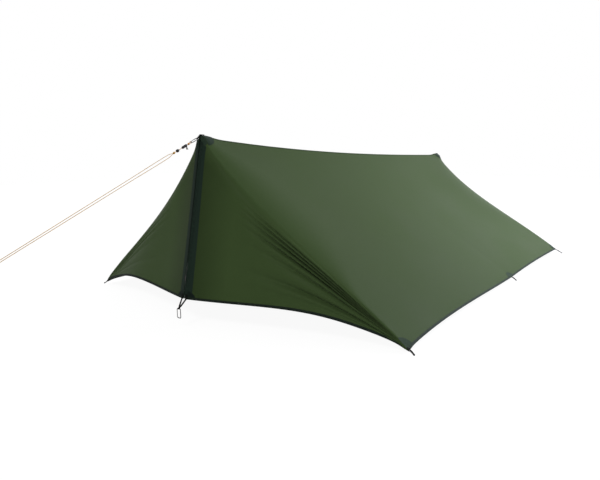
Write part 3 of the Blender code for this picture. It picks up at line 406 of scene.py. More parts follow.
def hard_material(name, colour, roughness, metallic=0.0, specular=0.2):
    """Metal or moulded plastic with a fine grain and patches of wear."""
    n = new_material(name, colour, roughness, metallic, specular)
    place = n.place(kind="Object")
    marks = n.noise(place, HARD_GRAIN, 4.0, 0.6)
    patches = n.noise(place, HARD_GRAIN / 12)
    tone = n.mix(n.spread(patches, 0.0, 1.0, 0.35, 0.65), shade(colour, 0.86), shade(colour, 1.1))
    rough = n.spread(n.math("MULTIPLY", marks, patches), roughness - 0.08, roughness + 0.16, 0.1, 0.45)
    return n.finish(tone, rough, n.bump(marks, 0.00006, 0.5))


OLIVE = (0.031, 0.051, 0.0175)
CLOTH = cloth_material("coated_ripstop", OLIVE, 0.42)
# The doors' cloth, with painted shade towards the zip
SHADED_DOOR_CLOTH = cloth_material("coated_ripstop_with_painted_zip_shade", OLIVE, 0.42, 0.46)
SEAM = cloth_material("seam_tape", (0.030, 0.046, 0.022), 0.5)
SIDE_HEM = woven_material("side_hem_binding", (0.022, 0.032, 0.025), 0.6, RIB, 0.0002)
DARK_HEM = woven_material("door_hem_binding", (0.008, 0.013, 0.009), 0.6, RIB, 0.0002)
PATCH = cloth_material("reinforcement_patch", (0.024, 0.038, 0.025))
PEAK_PATCH = cloth_material("peak_patch", (0.016, 0.027, 0.018), 0.5)
DARK_PATCH = cloth_material("dark_patch", (0.006, 0.010, 0.008))
WEBBING = woven_material("webbing_weave", (0.006, 0.006, 0.006), 0.7, 1.2 * MM, 0.0004, 0.6)
FACING = cloth_material("zip_facing", (0.010, 0.018, 0.013))
ZIP_TAPE = woven_material("zip_tape_weave", (0.009, 0.017, 0.012), 0.65, 1.0 * MM, 0.0002)
COIL = hard_material("zip_coil", (0.003, 0.006, 0.004), 0.6, specular=0.03)
THREAD = hard_material("sewing_thread", (0.022, 0.034, 0.014), 0.7)
DARK_THREAD = hard_material("black_thread", (0.010, 0.012, 0.010), 0.7)
ALLOY = hard_material("polished_alloy", (0.12, 0.12, 0.115), 0.30, 1.0)
SLIDER_METAL = hard_material("painted_slider", (0.012, 0.013, 0.013), 0.45)
PLASTIC = hard_material("moulded_plastic", (0.008, 0.007, 0.006), 0.48)
GREY_TAB = woven_material("tensioner_tab_weave", (0.30, 0.30, 0.28), 0.7, 1.2 * MM, 0.0003)
GOLDEN = braid_material("golden_cord", (0.46, 0.20, 0.012), (0.24, 0.09, 0.006))
STRAW = braid_material("straw_cord", (0.42, 0.22, 0.010), (0.27, 0.13, 0.005))


# Meshes: a built shape is its points, faces and map, and a patch is a surface's points, normals and map

def new_piece(name, built, material, angle):
    points, faces, uv = built
    data = bpy.data.meshes.new(name)
    data.from_pydata(points.tolist(), [], faces)
    layer = data.uv_layers.new(name="cloth")
    corners = np.zeros(len(data.loops), np.int32)
    data.loops.foreach_get("vertex_index", corners)
    layer.uv.foreach_set("vector", np.asarray(uv, np.float32)[corners].ravel())
    data.validate()
    build = bmesh.new()
    build.from_mesh(data)
    bmesh.ops.recalc_face_normals(build, faces=build.faces[:])
    build.to_mesh(data)
    build.free()
    data.shade_smooth()
    data.set_sharp_from_angle(angle=math.radians(angle))
    data.materials.append(material)
    return add_object(name, data)


def add(name, built, material, body, slot, *nodes, angle=50.0):
    """A piece that rides on a body, or, for a leaf given by its end and side, has its placement baked into
    its mesh.
    """
    piece = new_piece(name, built, material, angle)
    if isinstance(body, str):
        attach(piece, body)
    else:
        bend(piece, *body)
    if nodes:
        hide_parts(*nodes)
    return piece


def bend(piece, end, side):
    """The piece's placement is baked into its mesh."""
    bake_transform(piece)


def tag(end, side):
    return end + "_" + SIDES[side]


def quads(rows, columns, first=0, wrap=False):
    """The faces of a grid of points, whose columns close on themselves where wrap is True."""
    i, j = np.meshgrid(np.arange(rows - 1), np.arange(columns if wrap else columns - 1), indexing="ij")
    k = (j + 1) % columns
    found = np.stack([i * columns + j, (i + 1) * columns + j, (i + 1) * columns + k, i * columns + k], -1)
    return (found.reshape(-1, 4) + first).tolist()


def slab(patch, low=PATCH_LOW, high=PATCH_HIGH):
    """A closed sheet between two offsets of a patch."""
    grid, normals, uv = patch
    rows, columns = grid.shape[:2]
    count = rows * columns
    points = np.concatenate([(grid + normals * offset).reshape(-1, 3) for offset in (high, low)])
    faces = quads(rows, columns) + [f[::-1] for f in quads(rows, columns, count)]
    index = np.arange(count).reshape(rows, columns)
    edge = list(index[0]) + list(index[1:, -1]) + list(index[-1, -2::-1]) + list(index[-2:0:-1, 0])
    for a, b in zip(edge, edge[1:] + edge[:1]):
        faces.append([a, b, b + count, a + count])
    return points, faces, np.concatenate([uv.reshape(-1, 2)] * 2)


def loft(rings, uv=None):
    """Rings of points joined into a body, with a face at each end."""
    rows, count = rings.shape[:2]
    last = (rows - 1) * count
    faces = quads(rows, count, wrap=True) + [list(range(count)), list(range(last, last + count))]
    return rings.reshape(-1, 3), faces, np.zeros((rows * count, 2)) if uv is None else uv


def bored(rings):
    """Rings of points joined into a body whose last ring meets the first one, inside a bore."""
    points, faces, uv = loft(np.stack(rings))
    count = len(rings[0])
    last = len(points) - count
    faces = faces[:-2] + [[last + k, last + (k + 1) % count, (k + 1) % count, k] for k in range(count)]
    return points, faces, uv


def joined(parts):
    """Several built shapes as one."""
    points, faces, maps = zip(*parts)
    starts = np.cumsum([0] + [len(p) for p in points[:-1]])
    moved = [[k + start for k in face] for start, some in zip(starts.tolist(), faces) for face in some]
    return np.concatenate(points), moved, np.concatenate(maps)


def tube(path, radius, sides=12):
    """A round tube along a path; the map runs in metres along and round it."""
    path = np.asarray(path, float)
    ways = unit(np.gradient(path, axis=0))
    side = np.cross(ways[0], (0.3, 0.5, 0.81))
    turns = np.arange(sides) * math.tau / sides
    rings, maps = [], []
    for point, way, along, size in zip(path, ways, running(path), np.broadcast_to(radius, len(path))):
        side = square(side, way)
        over = np.cross(way, side)
        rings.append(point + size * (np.cos(turns)[:, None] * side + np.sin(turns)[:, None] * over))
        maps.append(np.stack([np.full(sides, along), turns * size], 1))
    return loft(np.stack(rings), np.concatenate(maps))


def arc(centre, across, over, radius, start, end, steps):
    turns = np.radians(np.linspace(start, end, steps + 1))[:, None]
    return centre + (across * np.cos(turns) + over * np.sin(turns)) * radius


def smooth_route(stations, steps):
    """Points on a smooth curve through the stations, the same number in each stretch."""
    stations = [np.asarray(s, float) for s in stations]
    ends = [stations[0] * 2 - stations[1]] + stations + [stations[-1] * 2 - stations[-2]]
    t = np.arange(steps)[:, None] / steps
    later = 3 * t**2 - 2 * t**3
    parts = []
    for a, b, c, d in zip(ends, ends[1:], ends[2:], ends[3:]):
        leave, arrive = (unit(way) * norm(c - b) for way in (c - a, d - b))
        parts.append(b * (1 - later) + c * later + leave * (t**3 - 2 * t**2 + t) + arrive * (t**3 - t**2))
    return np.concatenate(parts + [stations[-1:]])


# The guy line

ALONG = np.array((-math.cos(GUY_SLOPE), 0.0, -math.sin(GUY_SLOPE)))
OVER = np.array((ALONG[2], 0.0, -ALONG[0]))
BAR = PEAK_EYES["front"] + ALONG * (CARABINER_LENGTH - CARABINER_WIRE)


def on_line(run, lift):
    return BAR + ALONG * run + OVER * lift


def leader_path():
    """From the first knot round the bar and back, then through the tensioner and the bead to the second."""
    wrap = CARABINER_WIRE / 2 + GAP * 2 + CORD / 2
    legs = [(KNOT_START + KNOT_PITCH * KNOT_TURNS + CORD, HALF_GAP), (KNOT_START, HALF_GAP)]
    legs.append((KNOT_START * 0.45, wrap * 1.05))
    stations = legs + [(wrap * run, wrap * lift) for run, lift in BAR_WRAP]
    stations += [(run, -lift) for run, lift in reversed(legs)]
    stations += [(run, 0.0) for run in (TENSIONER_START, RUNNER_START, LINE_JOIN)]
    return smooth_route([on_line(*s) for s in stations], 8)


def line_path():
    """Out along one strand, round the bight and back along the other strand."""
    stop = LINE_KNOT_START + KNOT_PITCH * KNOT_TURNS + CORD
    run = [(at, HALF_GAP) for at in (LINE_JOIN + GAP, stop, stop + CORD)]
    run += [(stop + at, LINE_SPREAD * share) for at, share in STRAND_PLACES]
    run += [(LINE_LENGTH - at, lift) for at, lift in BIGHT_PLACES]
    stations = run + [(LINE_LENGTH, 0.0)] + [(along, -lift) for along, lift in reversed(run)]
    return smooth_route([on_line(*s) for s in stations], 6)


def knot_path(start):
    radius = CORD * 1.5 + GAP * 2.5
    turns = np.linspace(0, KNOT_TURNS, KNOT_TURNS * 24 + 1)
    out = np.cos(turns * math.tau)[:, None] * ACROSS + np.sin(turns * math.tau)[:, None] * OVER
    return on_line(start, 0.0) + ALONG * (CORD / 2 + KNOT_PITCH * turns)[:, None] + out * radius


def add_cord(name, path, diameter, material, node):
    return add(name, tube(path, diameter / 2), material, "canopy", "guy_cord", node, angle=60)


leader = add_cord("guy_leader_cord", leader_path(), CORD, GOLDEN, "guy_leader")
line = add_cord("guy_line_cord", line_path(), CORD, STRAW, "guy_line")
knots = [
    add_cord("guy_knot_wraps_peak", knot_path(KNOT_START), TIGHT_CORD, GOLDEN, "guy_knot_peak"),
    add_cord("guy_knot_wraps_runner", knot_path(LINE_KNOT_START), TIGHT_CORD, STRAW, "guy_knot_runner"),
]
leader_path()
tuple(line_path()[0])
line_path()


# The cloth's surface, worked out on the right side

def mirrored(points, side):
    return points * np.array((1.0, -side, 1.0))


def bowed(start, end, towards, bow, lean, t):
    return lerp(start, end, t) + towards * (4 * bow * t * (1 - t) * (1 + lean * (1 - 2 * t)))[..., None]


def other_peak(end):
    return PEAKS["rear" if end == "front" else "front"]


def fold_ways(end):
    """From the line between peak and corner: the unit ways into the roof and into the door."""
    peak = PEAKS[end]
    return [square(place - peak, CORNERS[end] - peak) for place in (other_peak(end), FEET[end])]


def crease_point(end, t):
    return bowed(PEAKS[end], CORNERS[end], unit(sum(fold_ways(end))), *CREASE_BOW[end], t)


def ridge_point(u):
    return bowed(PEAKS["front"], PEAKS["rear"], -UP, *RIDGE_SAG, u)


def middle_share():
    front, rear = CORNERS["front"][0], CORNERS["rear"][0]
    return (MIDDLE[0] - front) / (rear - front)


def side_hem_point(u):
    split = middle_share()
    ahead = u < split
    t = np.where(ahead, u / split, (u - split) / (1 - split))
    base = np.where(ahead[..., None], lerp(CORNERS["front"], MIDDLE, t), lerp(MIDDLE, CORNERS["rear"], t))
    bow, lean = (np.where(ahead, front, rear) for front, rear in zip(HEM_BOW["front"], HEM_BOW["rear"]))
    rise = 4 * bow * t * (1 - t) * (1 + lean * (1 - 2 * t))
    return base + unit(ridge_point(u) - base) * rise[..., None]


def plain_roof(u, v):
    """A point of the right roof panel: u from front to rear, v from the ridge to the hem."""
    ends = np.array((0.0, 1.0))
    flat = lerp(lerp(*ridge_point(ends), u), lerp(*side_hem_point(ends), u), v)
    creases = lerp(crease_point("front", v), crease_point("rear", v), u)
    point = lerp(ridge_point(u), side_hem_point(u), v) + creases - flat
    outward = unit(np.cross(CORNERS["front"] - PEAKS["front"], PEAKS["rear"] - PEAKS["front"]))
    return point - outward * (16 * ROOF_SAG * u * (1 - u) * v * (1 - v))[..., None]


def roof_span(v):
    return norm(crease_point("front", v) - crease_point("rear", v))


def door_hem_point(end, t):
    start, stop = CORNERS[end], FEET[end]
    return bowed(start, stop, square(PEAKS[end] - start, stop - start), *DOOR_HEM_BOW, t)


def row_width(end, b):
    return norm(door_hem_point(end, b) - crease_point(end, 1 - b))


def door_normal(end):
    peak = PEAKS[end]
    return facing(unit(np.cross(CORNERS[end] - peak, FEET[end] - peak)), peak * (1, 0, 0))


def leaf_width(end, a):
    """From the corner to the zip, a share of the way down it."""
    return norm(CORNERS[end] - lerp(PEAKS[end], FEET[end], a))


def zip_length(end):
    return norm(FEET[end] - PEAKS[end])


def hem_length(end):
    return norm(FEET[end] - CORNERS[end])


def fold_height(side, a, b):
    """The folds are deepest a third of the way up, and close up towards the corner."""
    rise = np.minimum(b / 0.30, 1.0) ** 0.9 * (1 - smooth((b - 0.46) / 0.36))
    height = np.zeros_like(a)
    for place, width, depth in FOLDS:
        drift = place + 0.03 * (0.3 - b) * smooth((place - 0.2) / 0.1)
        height -= depth * np.exp(-(((a - drift) / width) ** 2))
    return FOLD_DEPTHS[side] * height * rise


def plain_door(end, side, a, b):
    """A point of a door leaf, drawn on the right: a from the crease to the hem, b from corner to zip."""
    point = lerp(crease_point(end, 1 - b), door_hem_point(end, b), a)
    lift = fold_height(side, a, b) - 16 * DOOR_SAG * a * (1 - a) * b * (1 - b)
    return point + door_normal(end) * lift[..., None]


def rounding(end, v, s):
    """The soft fold between roof and door, as a shift of a point s metres from the crease."""
    spread = SLANT * v * (1 - smooth((v - 0.05) / 0.80))
    roof_reach, door_reach = ROOF_CONE * spread + CONE_START, DOOR_CONE * spread + CONE_START
    x = np.clip(np.abs(s) / np.where(s < 0, roof_reach, door_reach), 0.0, 1.0)
    depth = 3 * roof_reach * door_reach / (roof_reach + door_reach)
    soft = depth * (0.25 - x / 1.5 + x**2 / 2 - x**4 / 12)
    back = BULGE_SHARE * 0.25 * depth * np.exp(-((s / BULGE_REACH) ** 2))
    inward = unit(sum(fold_ways(end)))
    kink = inward @ sum(unit(place - PEAKS[end]) for place in (other_peak(end), FEET[end]))
    return inward * (kink / 2 * (soft - back))[..., None]


def drawn(points):
    """The cloth raised over the peaks and drawn down at the peg corners."""
    for end, (height, behind) in CAPS.items():
        peak = PEAKS[end]
        middle = peak[0] * (1 - behind / abs(peak[0]))
        depth = np.minimum(points[..., 2] - peak[2], 0.0)
        away = np.abs((points[..., 0] - middle) / CAP_REACH[0]) ** 2.4 + (points[..., 1] / CAP_REACH[1]) ** 2
        near = np.exp(-((norm(points - peak) / BLUNT_REACH) ** 2))
        points = points + UP * (height * np.exp(-away - (depth / CAP_REACH[2]) ** 2))[..., None]
        points = points - ACROSS * (BLUNT_WIDTH * smooth(-points[..., 1] / BLUNT_WIDTH) * near)[..., None]
    for end, drop in PULLS.items():
        away = norm(points - CORNERS[end])
        points = points - UP * (drop * np.exp(-((away / PULL_REACH) ** 2)))[..., None]
    return points


def door_cloth(end, side, a, b):
    return drawn(plain_door(end, side, a, b) + rounding(end, 1 - b, a * row_width(end, b)))


def roof_cloth(u, v):
    point = plain_roof(u, v)
    for end, share in (("front", u), ("rear", 1 - u)):
        point = point + rounding(end, v, -share * roof_span(v))
    return drawn(point)


def normals_of(surface, x, y, outward):
    step = 0.0015
    x0, x1 = np.maximum(x - step, 0.0), np.minimum(x + step, 1.0)
    y0, y1 = np.maximum(y - step, 0.0), np.minimum(y + step, 1.0)
    normal = unit(np.cross(surface(x1, y) - surface(x0, y), surface(x, y1) - surface(x, y0)))
    return normal * np.sign(normal @ outward)[..., None]


def roof_patch(side, u, v):
    """Points, normals and map of any part of a roof panel."""
    u, v = np.broadcast_arrays(u, v)
    normals = normals_of(roof_cloth, u, v, ROOF_OUT)
    uv = np.stack([u * RIDGE_SPAN, v * SLANT * -side], -1)
    return mirrored(roof_cloth(u, v), side), mirrored(normals, side), uv


def door_patch(end, side, a, b):
    """Points, normals and map of any part of a door leaf."""
    a, b = np.broadcast_arrays(a, b)
    normals = normals_of(lambda x, y: door_cloth(end, side, x, y), a, b, door_normal(end))
    run = a * row_width(end, b)
    uv = np.stack([-run if end == "front" else RIDGE_SPAN + run, (1 - b) * SLANT * -side], -1)
    return mirrored(door_cloth(end, side, a, b), side), mirrored(normals, side), uv


def side_by_side(patches):
    """Lines of a surface as one patch."""
    return [np.stack(parts, 1) for parts in zip(*patches)]


# The cloth

def build_roof(side):
    word = SIDES[side]
    patch = roof_patch(side, np.linspace(CUT, 1 - CUT, 180)[:, None], np.linspace(RIDGE_EDGE, 1.0, 120))
    built = slab(patch, -FABRIC / 2, FABRIC / 2)
    return add("roof_cloth_" + word, built, CLOTH, "canopy", "coated_fabric", "roof_panel_" + word)


def build_door(end, side):
    """A door leaf with the strip of roof beside its crease, so that the crease bends in one piece."""
    places = np.concatenate([np.linspace(1, 0.45, 44)[:-1], np.linspace(0.45, 0, 118)])
    t = np.linspace(0, 1, 140)[:, None]
    edge = DOOR_EDGE / leaf_width(end, places)
    door = door_patch(end, side, places, 1 - (edge + (CORNER_STOP - edge) * t))
    sign, base = ROOF_ENDS[end]
    u = base + sign * np.linspace(0, CUT, 9)[1:]
    strip = roof_patch(side, u, RIDGE_EDGE + (CORNER_STOP - RIDGE_EDGE) * t)
    built = slab([np.concatenate(parts, axis=1) for parts in zip(door, strip)], -FABRIC / 2, FABRIC / 2)
    name = tag(end, side)
    return add("door_cloth_" + name, built, SHADED_DOOR_CLOTH, (end, side), "coated_fabric", "door_" + name)


roofs = {side: build_roof(side) for side in SIDES}
doors = {(end, side): build_door(end, side) for end in ENDS for side in SIDES}


# Bindings, tapes and patches

def roof_hem(side, u):
    return lambda reach: roof_patch(side, u, 1.0 - reach / SLANT)


def door_hem(end, side, b):
    return lambda reach: door_patch(end, side, 1.0 - np.minimum(reach / row_width(end, b), 0.35), b)


def binding(hem, run):
    """A tape folded over a hem, which is a function that gives the line at a reach from the edge."""
    (e, en, _), (i, inn, _) = hem(0.0), hem(HEM_WIDTH)
    out = unit(e - i)
    ring = [i + inn * HEM_OUTER, (i + e) / 2 + unit(inn + en) * (HEM_OUTER + HEM_CROWN), e + en * HEM_OUTER]
    ring += [e + out * HEM_OUTER + en * HEM_LIP, e + out * HEM_OUTER - en * HEM_LIP, e - en * HEM_OUTER]
    ring += [i - inn * HEM_OUTER, i - inn * HEM_INNER, e - en * HEM_INNER, e + out * HEM_LIP / 2]
    ring += [e + en * HEM_INNER, i + inn * HEM_INNER]
    grid = np.stack(ring, 1)
    rows, count = grid.shape[:2]
    return loft(grid, np.stack([np.repeat(run, count), np.tile(running(grid[rows // 2]), rows)], 1))


def fan(side, centre, signs, turns, radii, steps=(9, 15), start=0.06):
    """A rounded patch of the roof panel, a quarter or half ellipse about a place on its edge."""
    rho, turn = np.linspace(start, 1, steps[0])[:, None], np.linspace(*turns, steps[1])
    v = np.clip(centre[1] + signs[1] * radii[1] * rho * np.sin(turn) / SLANT, 0.8 * MM / SLANT, 1.0)
    u = centre[0] + signs[0] * radii[0] * rho * np.cos(turn) / roof_span(v)
    return roof_patch(side, np.clip(u, ROOF_INSET, 1 - ROOF_INSET), v)


def stitches(points, normals, lift):
    """A row of stitches along a line, lift metres over the cloth's middle."""
    run = running(points)
    starts = np.arange(STITCH_PITCH, run[-1] - STITCH_PITCH, STITCH_PITCH)
    rings = []
    for share, rise in ((0.0, 0.0), (0.25, 0.5), (0.75, 0.5), (1.0, 0.0)):
        place = starts + share * STITCH_LENGTH
        spot, normal, ahead = (
            np.stack([np.interp(place + step, run, source[:, k]) for k in range(3)], 1)
            for source, step in ((points, 0.0), (normals, 0.0), (points, 0.5 * STITCH_LENGTH))
        )
        side = unit(np.cross(ahead - spot, normal)) * STITCH_SIZE / 2
        top = unit(normal) * STITCH_SIZE / 2
        spot = spot + unit(normal) * (lift + rise * STITCH_SIZE)
        rings.append(np.stack([spot + side, spot + top, spot - side, spot - top], 1))
    grid = np.stack(rings, 1)
    one = np.array(loft(grid[0])[1])
    faces = (one[None] + 16 * np.arange(len(starts))[:, None, None]).reshape(-1, 4).tolist()
    return grid.reshape(-1, 3), faces, np.zeros((grid.size // 3, 2))


def sew(name, body, lines, material=THREAD):
    """Rows of stitches as one piece; each line is points, normals and the height of its tape's face."""
    add(name, joined([stitches(*line) for line in lines]), material, body, "sewn_tape", angle=30)


def line_of(patch, lift):
    return patch[0], patch[1], lift


def edge_of(patch, lift):
    """The outer line of a rounded patch."""
    return patch[0][0], patch[1][0], lift


def build_trim(side):
    """The side hem's binding, the peg points' patches, and the stitches in them."""
    word = SIDES[side]
    u = np.linspace(CUT, 1 - CUT, 240)
    hem = roof_hem(side, u)
    built = binding(hem, u * RIDGE_SPAN)
    add("side_hem_binding_" + word, built, SIDE_HEM, "canopy", "sewn_tape", "side_hem_tape_" + word)
    middle = (side, (middle_share(), 1.0), (1, -1), (0, math.pi), MIDDLE_PATCH)
    node = "corner_patch_middle_" + word
    add("middle_patch_" + word, slab(fan(*middle, (9, 27))), PATCH, "canopy", "sewn_tape", node)
    lines = [line_of(hem(HEM_SEWN), HEM_OUTER), edge_of(fan(*middle, (2, 40), SEWN_SHARE), PATCH_HIGH)]
    sew("side_stitching_" + word, "canopy", lines)
    for end in ENDS:
        sign, base = ROOF_ENDS[end]
        name, leaf = tag(end, side), (end, side)
        u = base + sign * np.linspace(CORNER_START / 3, CUT, 16)
        hem = roof_hem(side, u)
        add("corner_hem_binding_" + name, binding(hem, u * RIDGE_SPAN), SIDE_HEM, leaf, "sewn_tape")
        corner = (side, (base, 1.0), (sign, -1), (0, QUARTER))
        built = slab(fan(*corner, CORNER_PATCH))
        add("corner_patch_cloth_" + name, built, PATCH, leaf, "sewn_tape", "corner_patch_" + name)
        built = slab(fan(*corner, TIP_RADII, (5, 9), 0.02), -TIP_HIGH, TIP_HIGH)
        add("corner_tip_" + name, built, WEBBING, leaf, "webbing")
        edge = edge_of(fan(*corner, CORNER_PATCH, (2, 30), SEWN_SHARE), PATCH_HIGH)
        sew("corner_stitching_" + name, leaf, [line_of(hem(HEM_SEWN), HEM_OUTER), edge])


def build_peak_patch(end):
    """A reinforcement over the ridge at a peak, in one piece across both roof panels."""
    sign, base = ROOF_ENDS[end]
    halves = [fan(s, (base, 0.0), (sign, 1), (QUARTER, 0), RIDGE_PATCH, (12, 12), 0.02) for s in SIDES]
    patch = [np.concatenate([low, high[:, ::-1]], 1) for low, high in zip(*halves)]
    built = slab(patch, PEAK_PATCH_LOW, PEAK_PATCH_HIGH)
    add("peak_patch_cloth_" + end, built, PEAK_PATCH, "canopy", "sewn_tape", "peak_patch_" + end)
    sew("peak_stitching_" + end, "canopy", [(patch[0][-2], patch[1][-2], PEAK_PATCH_HIGH)], DARK_THREAD)


def build_ridge_tape():
    """The felled seam along the ridge, folded over it."""
    u = np.linspace(0.012, 0.988, 260)

    def along_ridge(side, reaches):
        return [roof_patch(side, u, reach * MM / SLANT) for reach in reaches]

    patches = along_ridge(-1, RIDGE_PLACES) + along_ridge(1, RIDGE_PLACES[::-1])
    built = slab(side_by_side(patches), SEAM_LOW, SEAM_HIGH)
    add("ridge_seam_fell", built, SEAM, "canopy", "sewn_tape", "ridge_seam_tape")
    sewn = along_ridge(-1, RIDGE_SEWN) + along_ridge(1, RIDGE_SEWN)
    sew("ridge_stitching", "canopy", [line_of(patch, SEAM_HIGH) for patch in sewn])


for side in SIDES:
    build_trim(side)
for end in ENDS:
    build_peak_patch(end)
build_ridge_tape()


# The doors' hems and zips

def zip_ways(end):
    """The ways down the zip and out of the cloth."""
    down = unit(FEET[end] - PEAKS[end])
    return down, facing(np.array((down[2], 0.0, -down[0])), PEAKS[end] * (1, 0, 0))


def zip_column(end, side, a, place):
    """A line of the door beside its zip, place millimetres from the zip's middle, where it is straight."""
    place = place * MM
    points, normals, uv = door_patch(end, side, a, 1 - place / leaf_width(end, a))
    peak, (down, out) = PEAKS[end], zip_ways(end)
    straight = peak + ((points - peak) @ down)[:, None] * down + ACROSS * side * place
    share = smooth((10 * MM - place) / (6 * MM))
    return points + (straight - points) * share, unit(normals + (out - normals) * share), uv


def build_zip(end, side):
    name, leaf = tag(end, side), (end, side)
    length = zip_length(end)
    shares = np.linspace(ZIP_TOP / length, 1 - ZIP_END / length, 90)

    def columns(places):
        return [zip_column(end, side, shares, place) for place in places]

    built = slab(side_by_side(columns(FACING_PLACES)), FACING_LOW, FACING_HIGH)
    add("zip_facing_" + name, built, FACING, leaf, "sewn_tape")
    built = slab(side_by_side(columns(TAPE_PLACES)), TAPE_LOW, TAPE_HIGH)
    add("zip_tape_cloth_" + name, built, ZIP_TAPE, leaf, "zip_tape", "zip_tape_" + name)
    down, out = zip_ways(end)
    run = np.arange(ZIP_TOP, length - ZIP_END, COIL_PITCH / 8)
    turn = run / COIL_PITCH * math.tau + (0 if side < 0 else math.pi)
    middle, half = (COIL_NEAR + COIL_FAR) / 2, (COIL_FAR - COIL_NEAR) / 2 - COIL_WIRE / 2
    path = PEAKS[end] + down * run[:, None] + ACROSS * (side * (middle + half * np.cos(turn)))[:, None]
    path = path + out * (COIL_MIDDLE + (COIL_RISE - COIL_WIRE / 2) * np.sin(turn))[:, None]
    add("zip_coil_" + name, tube(path, COIL_WIRE / 2, 5), COIL, leaf, "zip_tape", angle=70)
    lines = [line_of(column, TAPE_HIGH) for column in columns(TAPE_SEWN)]
    lines.append(line_of(*columns([FACING_SEWN]), FACING_HIGH))
    sew("zip_stitching_" + name, leaf, lines, DARK_THREAD)


def build_door_trim(end, side):
    """A door leaf's hem binding, its rounded patches at foot and head, and the stitches in them."""
    name, leaf = tag(end, side), (end, side)
    b = np.linspace(CORNER_START, 1 - DOOR_EDGE / zip_length(end), 130)
    hem = door_hem(end, side, b)
    built = binding(hem, b * DOOR_HEM_LENGTH)
    add("door_hem_binding_" + name, built, DARK_HEM, leaf, "sewn_tape", "door_hem_tape_" + name)

    def foot(across, rise):
        start, (width, height) = HEM_WIDTH * 0.5, FOOT_PATCH
        reach = start + rise * (height * np.sqrt(1 - 0.86 * across**2) - start)
        inset = DOOR_EDGE + across * width
        return door_patch(end, side, 1 - reach / zip_length(end), 1 - inset / hem_length(end))

    def head(rho, turn):
        width, height = HEAD_PATCH
        a = height * rho * np.sin(turn) / zip_length(end)
        return door_patch(end, side, a, 1 - width * rho * np.cos(turn) / SLANT)

    built = slab(foot(np.linspace(0, 1, 12)[:, None], np.linspace(0, 1, 12)), PATCH_LOW, DOOR_PATCH_HIGH)
    add("foot_patch_cloth_" + name, built, DARK_PATCH, leaf, "sewn_tape", "foot_patch_" + name)
    patch = head(np.linspace(0.08, 1, 9)[:, None], np.linspace(0.0, 1.38, 16))
    built = slab(patch, HEAD_LOW, DOOR_PATCH_HIGH)
    add("head_patch_cloth_" + name, built, PEAK_PATCH, leaf, "sewn_tape")
    sewn = (foot(np.linspace(0.25, 0.95, 30), 0.92), head(0.92, np.linspace(0.05, 1.0, 30)))
    lines = [line_of(hem(HEM_SEWN), HEM_OUTER)] + [line_of(patch, DOOR_PATCH_HIGH) for patch in sewn]
    sew("door_stitching_" + name, leaf, lines, DARK_THREAD)


for end in ENDS:
    for side in SIDES:
        build_zip(end, side)
        build_door_trim(end, side)


# Webbing

def strap(path, ways, width, thickness):
    """A webbing strap with rounded edges, along a path; ways run across it."""
    path = np.asarray(path, float)
    ways = unit(np.asarray(ways, float))
    normals = unit(np.cross(np.gradient(path, axis=0), ways))
    shape = [(-0.5, 0.0), (-0.47, 0.36), (-0.40, 0.5), (0.0, 0.46), (0.40, 0.5), (0.47, 0.36), (0.5, 0.0)]
    shape += [(x, -y) for x, y in reversed(shape[1:-1])]
    widths = np.broadcast_to(width, len(path))[:, None]
    grid = np.stack([path + ways * (x * widths) + normals * (y * thickness) for x, y in shape], 1)
    across = (widths * [x for x, _ in shape]).ravel()
    return loft(grid, np.stack([np.repeat(running(path), len(shape)), across], 1))


def band_path(tail, bend_at, eye, lift_way):
    """Out along the strap's tail, round an eye that lies across Y, and back under itself."""
    way = unit((eye - bend_at) * np.array((1, 0, 1)))
    over = facing(np.array((-way[2], 0.0, way[0])), lift_way)
    layer = WEBBING_THICK + GAP
    neck = eye - way * EYE_RADIUS * 2.2
    loop = list(arc(eye, way, over, EYE_RADIUS, 125, -125, 20))
    upper = [tail + lift_way * layer, bend_at + lift_way * layer, neck + over * layer / 2]
    return upper + loop + [neck - over * layer / 2, bend_at, tail]


def sewn_band(tail, bend_at, eye, lift_way, sewn_way, width, wider=1.0):
    """A strap sewn at its tail and looped round an eye; beyond the eye it is wider times as wide."""
    stations = band_path(tail, bend_at, eye, lift_way)
    path, ways = [], []
    last = len(stations) - 1
    for k, (here, there) in enumerate(zip(stations, stations[1:])):
        steps = 6 if k < 3 or k >= last - 3 else 1
        first = sewn_way if k < 1 or k > last - 2 else ACROSS
        then = sewn_way if k > last - 3 else ACROSS
        for t in np.arange(steps) / steps:
            path.append(here + (there - here) * t)
            ways.append(first + (then - first) * smooth(t))
    path.append(stations[-1])
    ways.append(sewn_way)
    share = smooth((norm(np.array(path) - eye) - 2 * EYE_RADIUS) / (2 * EYE_RADIUS))
    return strap(path, ways, width * (1 + (wider - 1) * share), WEBBING_THICK)


def bar_tack(middle, along, across, width):
    """A dense zigzag of thread across a strap."""
    turns = np.arange(TACK_TURNS + 1)[:, None]
    zigzag = (turns % 2 - 0.5) * across * width + (turns / TACK_TURNS - 0.5) * along * TACK_LENGTH
    return tube(middle + zigzag, 0.28 * MM, 5)


def build_foot_tab(end, side):
    b = 1 - FOOT_TAB_PLACE / hem_length(end)
    points, normals, _ = door_patch(end, side, 1 - np.array((0.0, 32 * MM)) / zip_length(end), b)
    (low, high), normal = points, normals[0]
    bend_at, tail = points + normal * (HEM_OUTER + GAP + WEBBING_THICK / 2)
    eye = FOOT_EYES[end] + ACROSS * side * 4.0 * MM
    sewn_way = facing(unit(np.cross(normal, high - low)), ACROSS)
    name, body = tag(end, side), tag(end, side) + "_leaf"
    band = sewn_band(tail, bend_at, eye, normal, sewn_way, 7.4 * MM, wider=1.7)
    add("foot_tab_strap_" + name, band, WEBBING, body, "webbing", "foot_tab_" + name, angle=60)
    middles = [lerp(bend_at, tail, share) + normal * TACK_LIFT for share in (0.35, 0.85)]
    tacks = [bar_tack(middle, unit(high - low), sewn_way, 8 * MM) for middle in middles]
    add("foot_tab_tacks_" + name, joined(tacks), DARK_THREAD, body, "webbing")


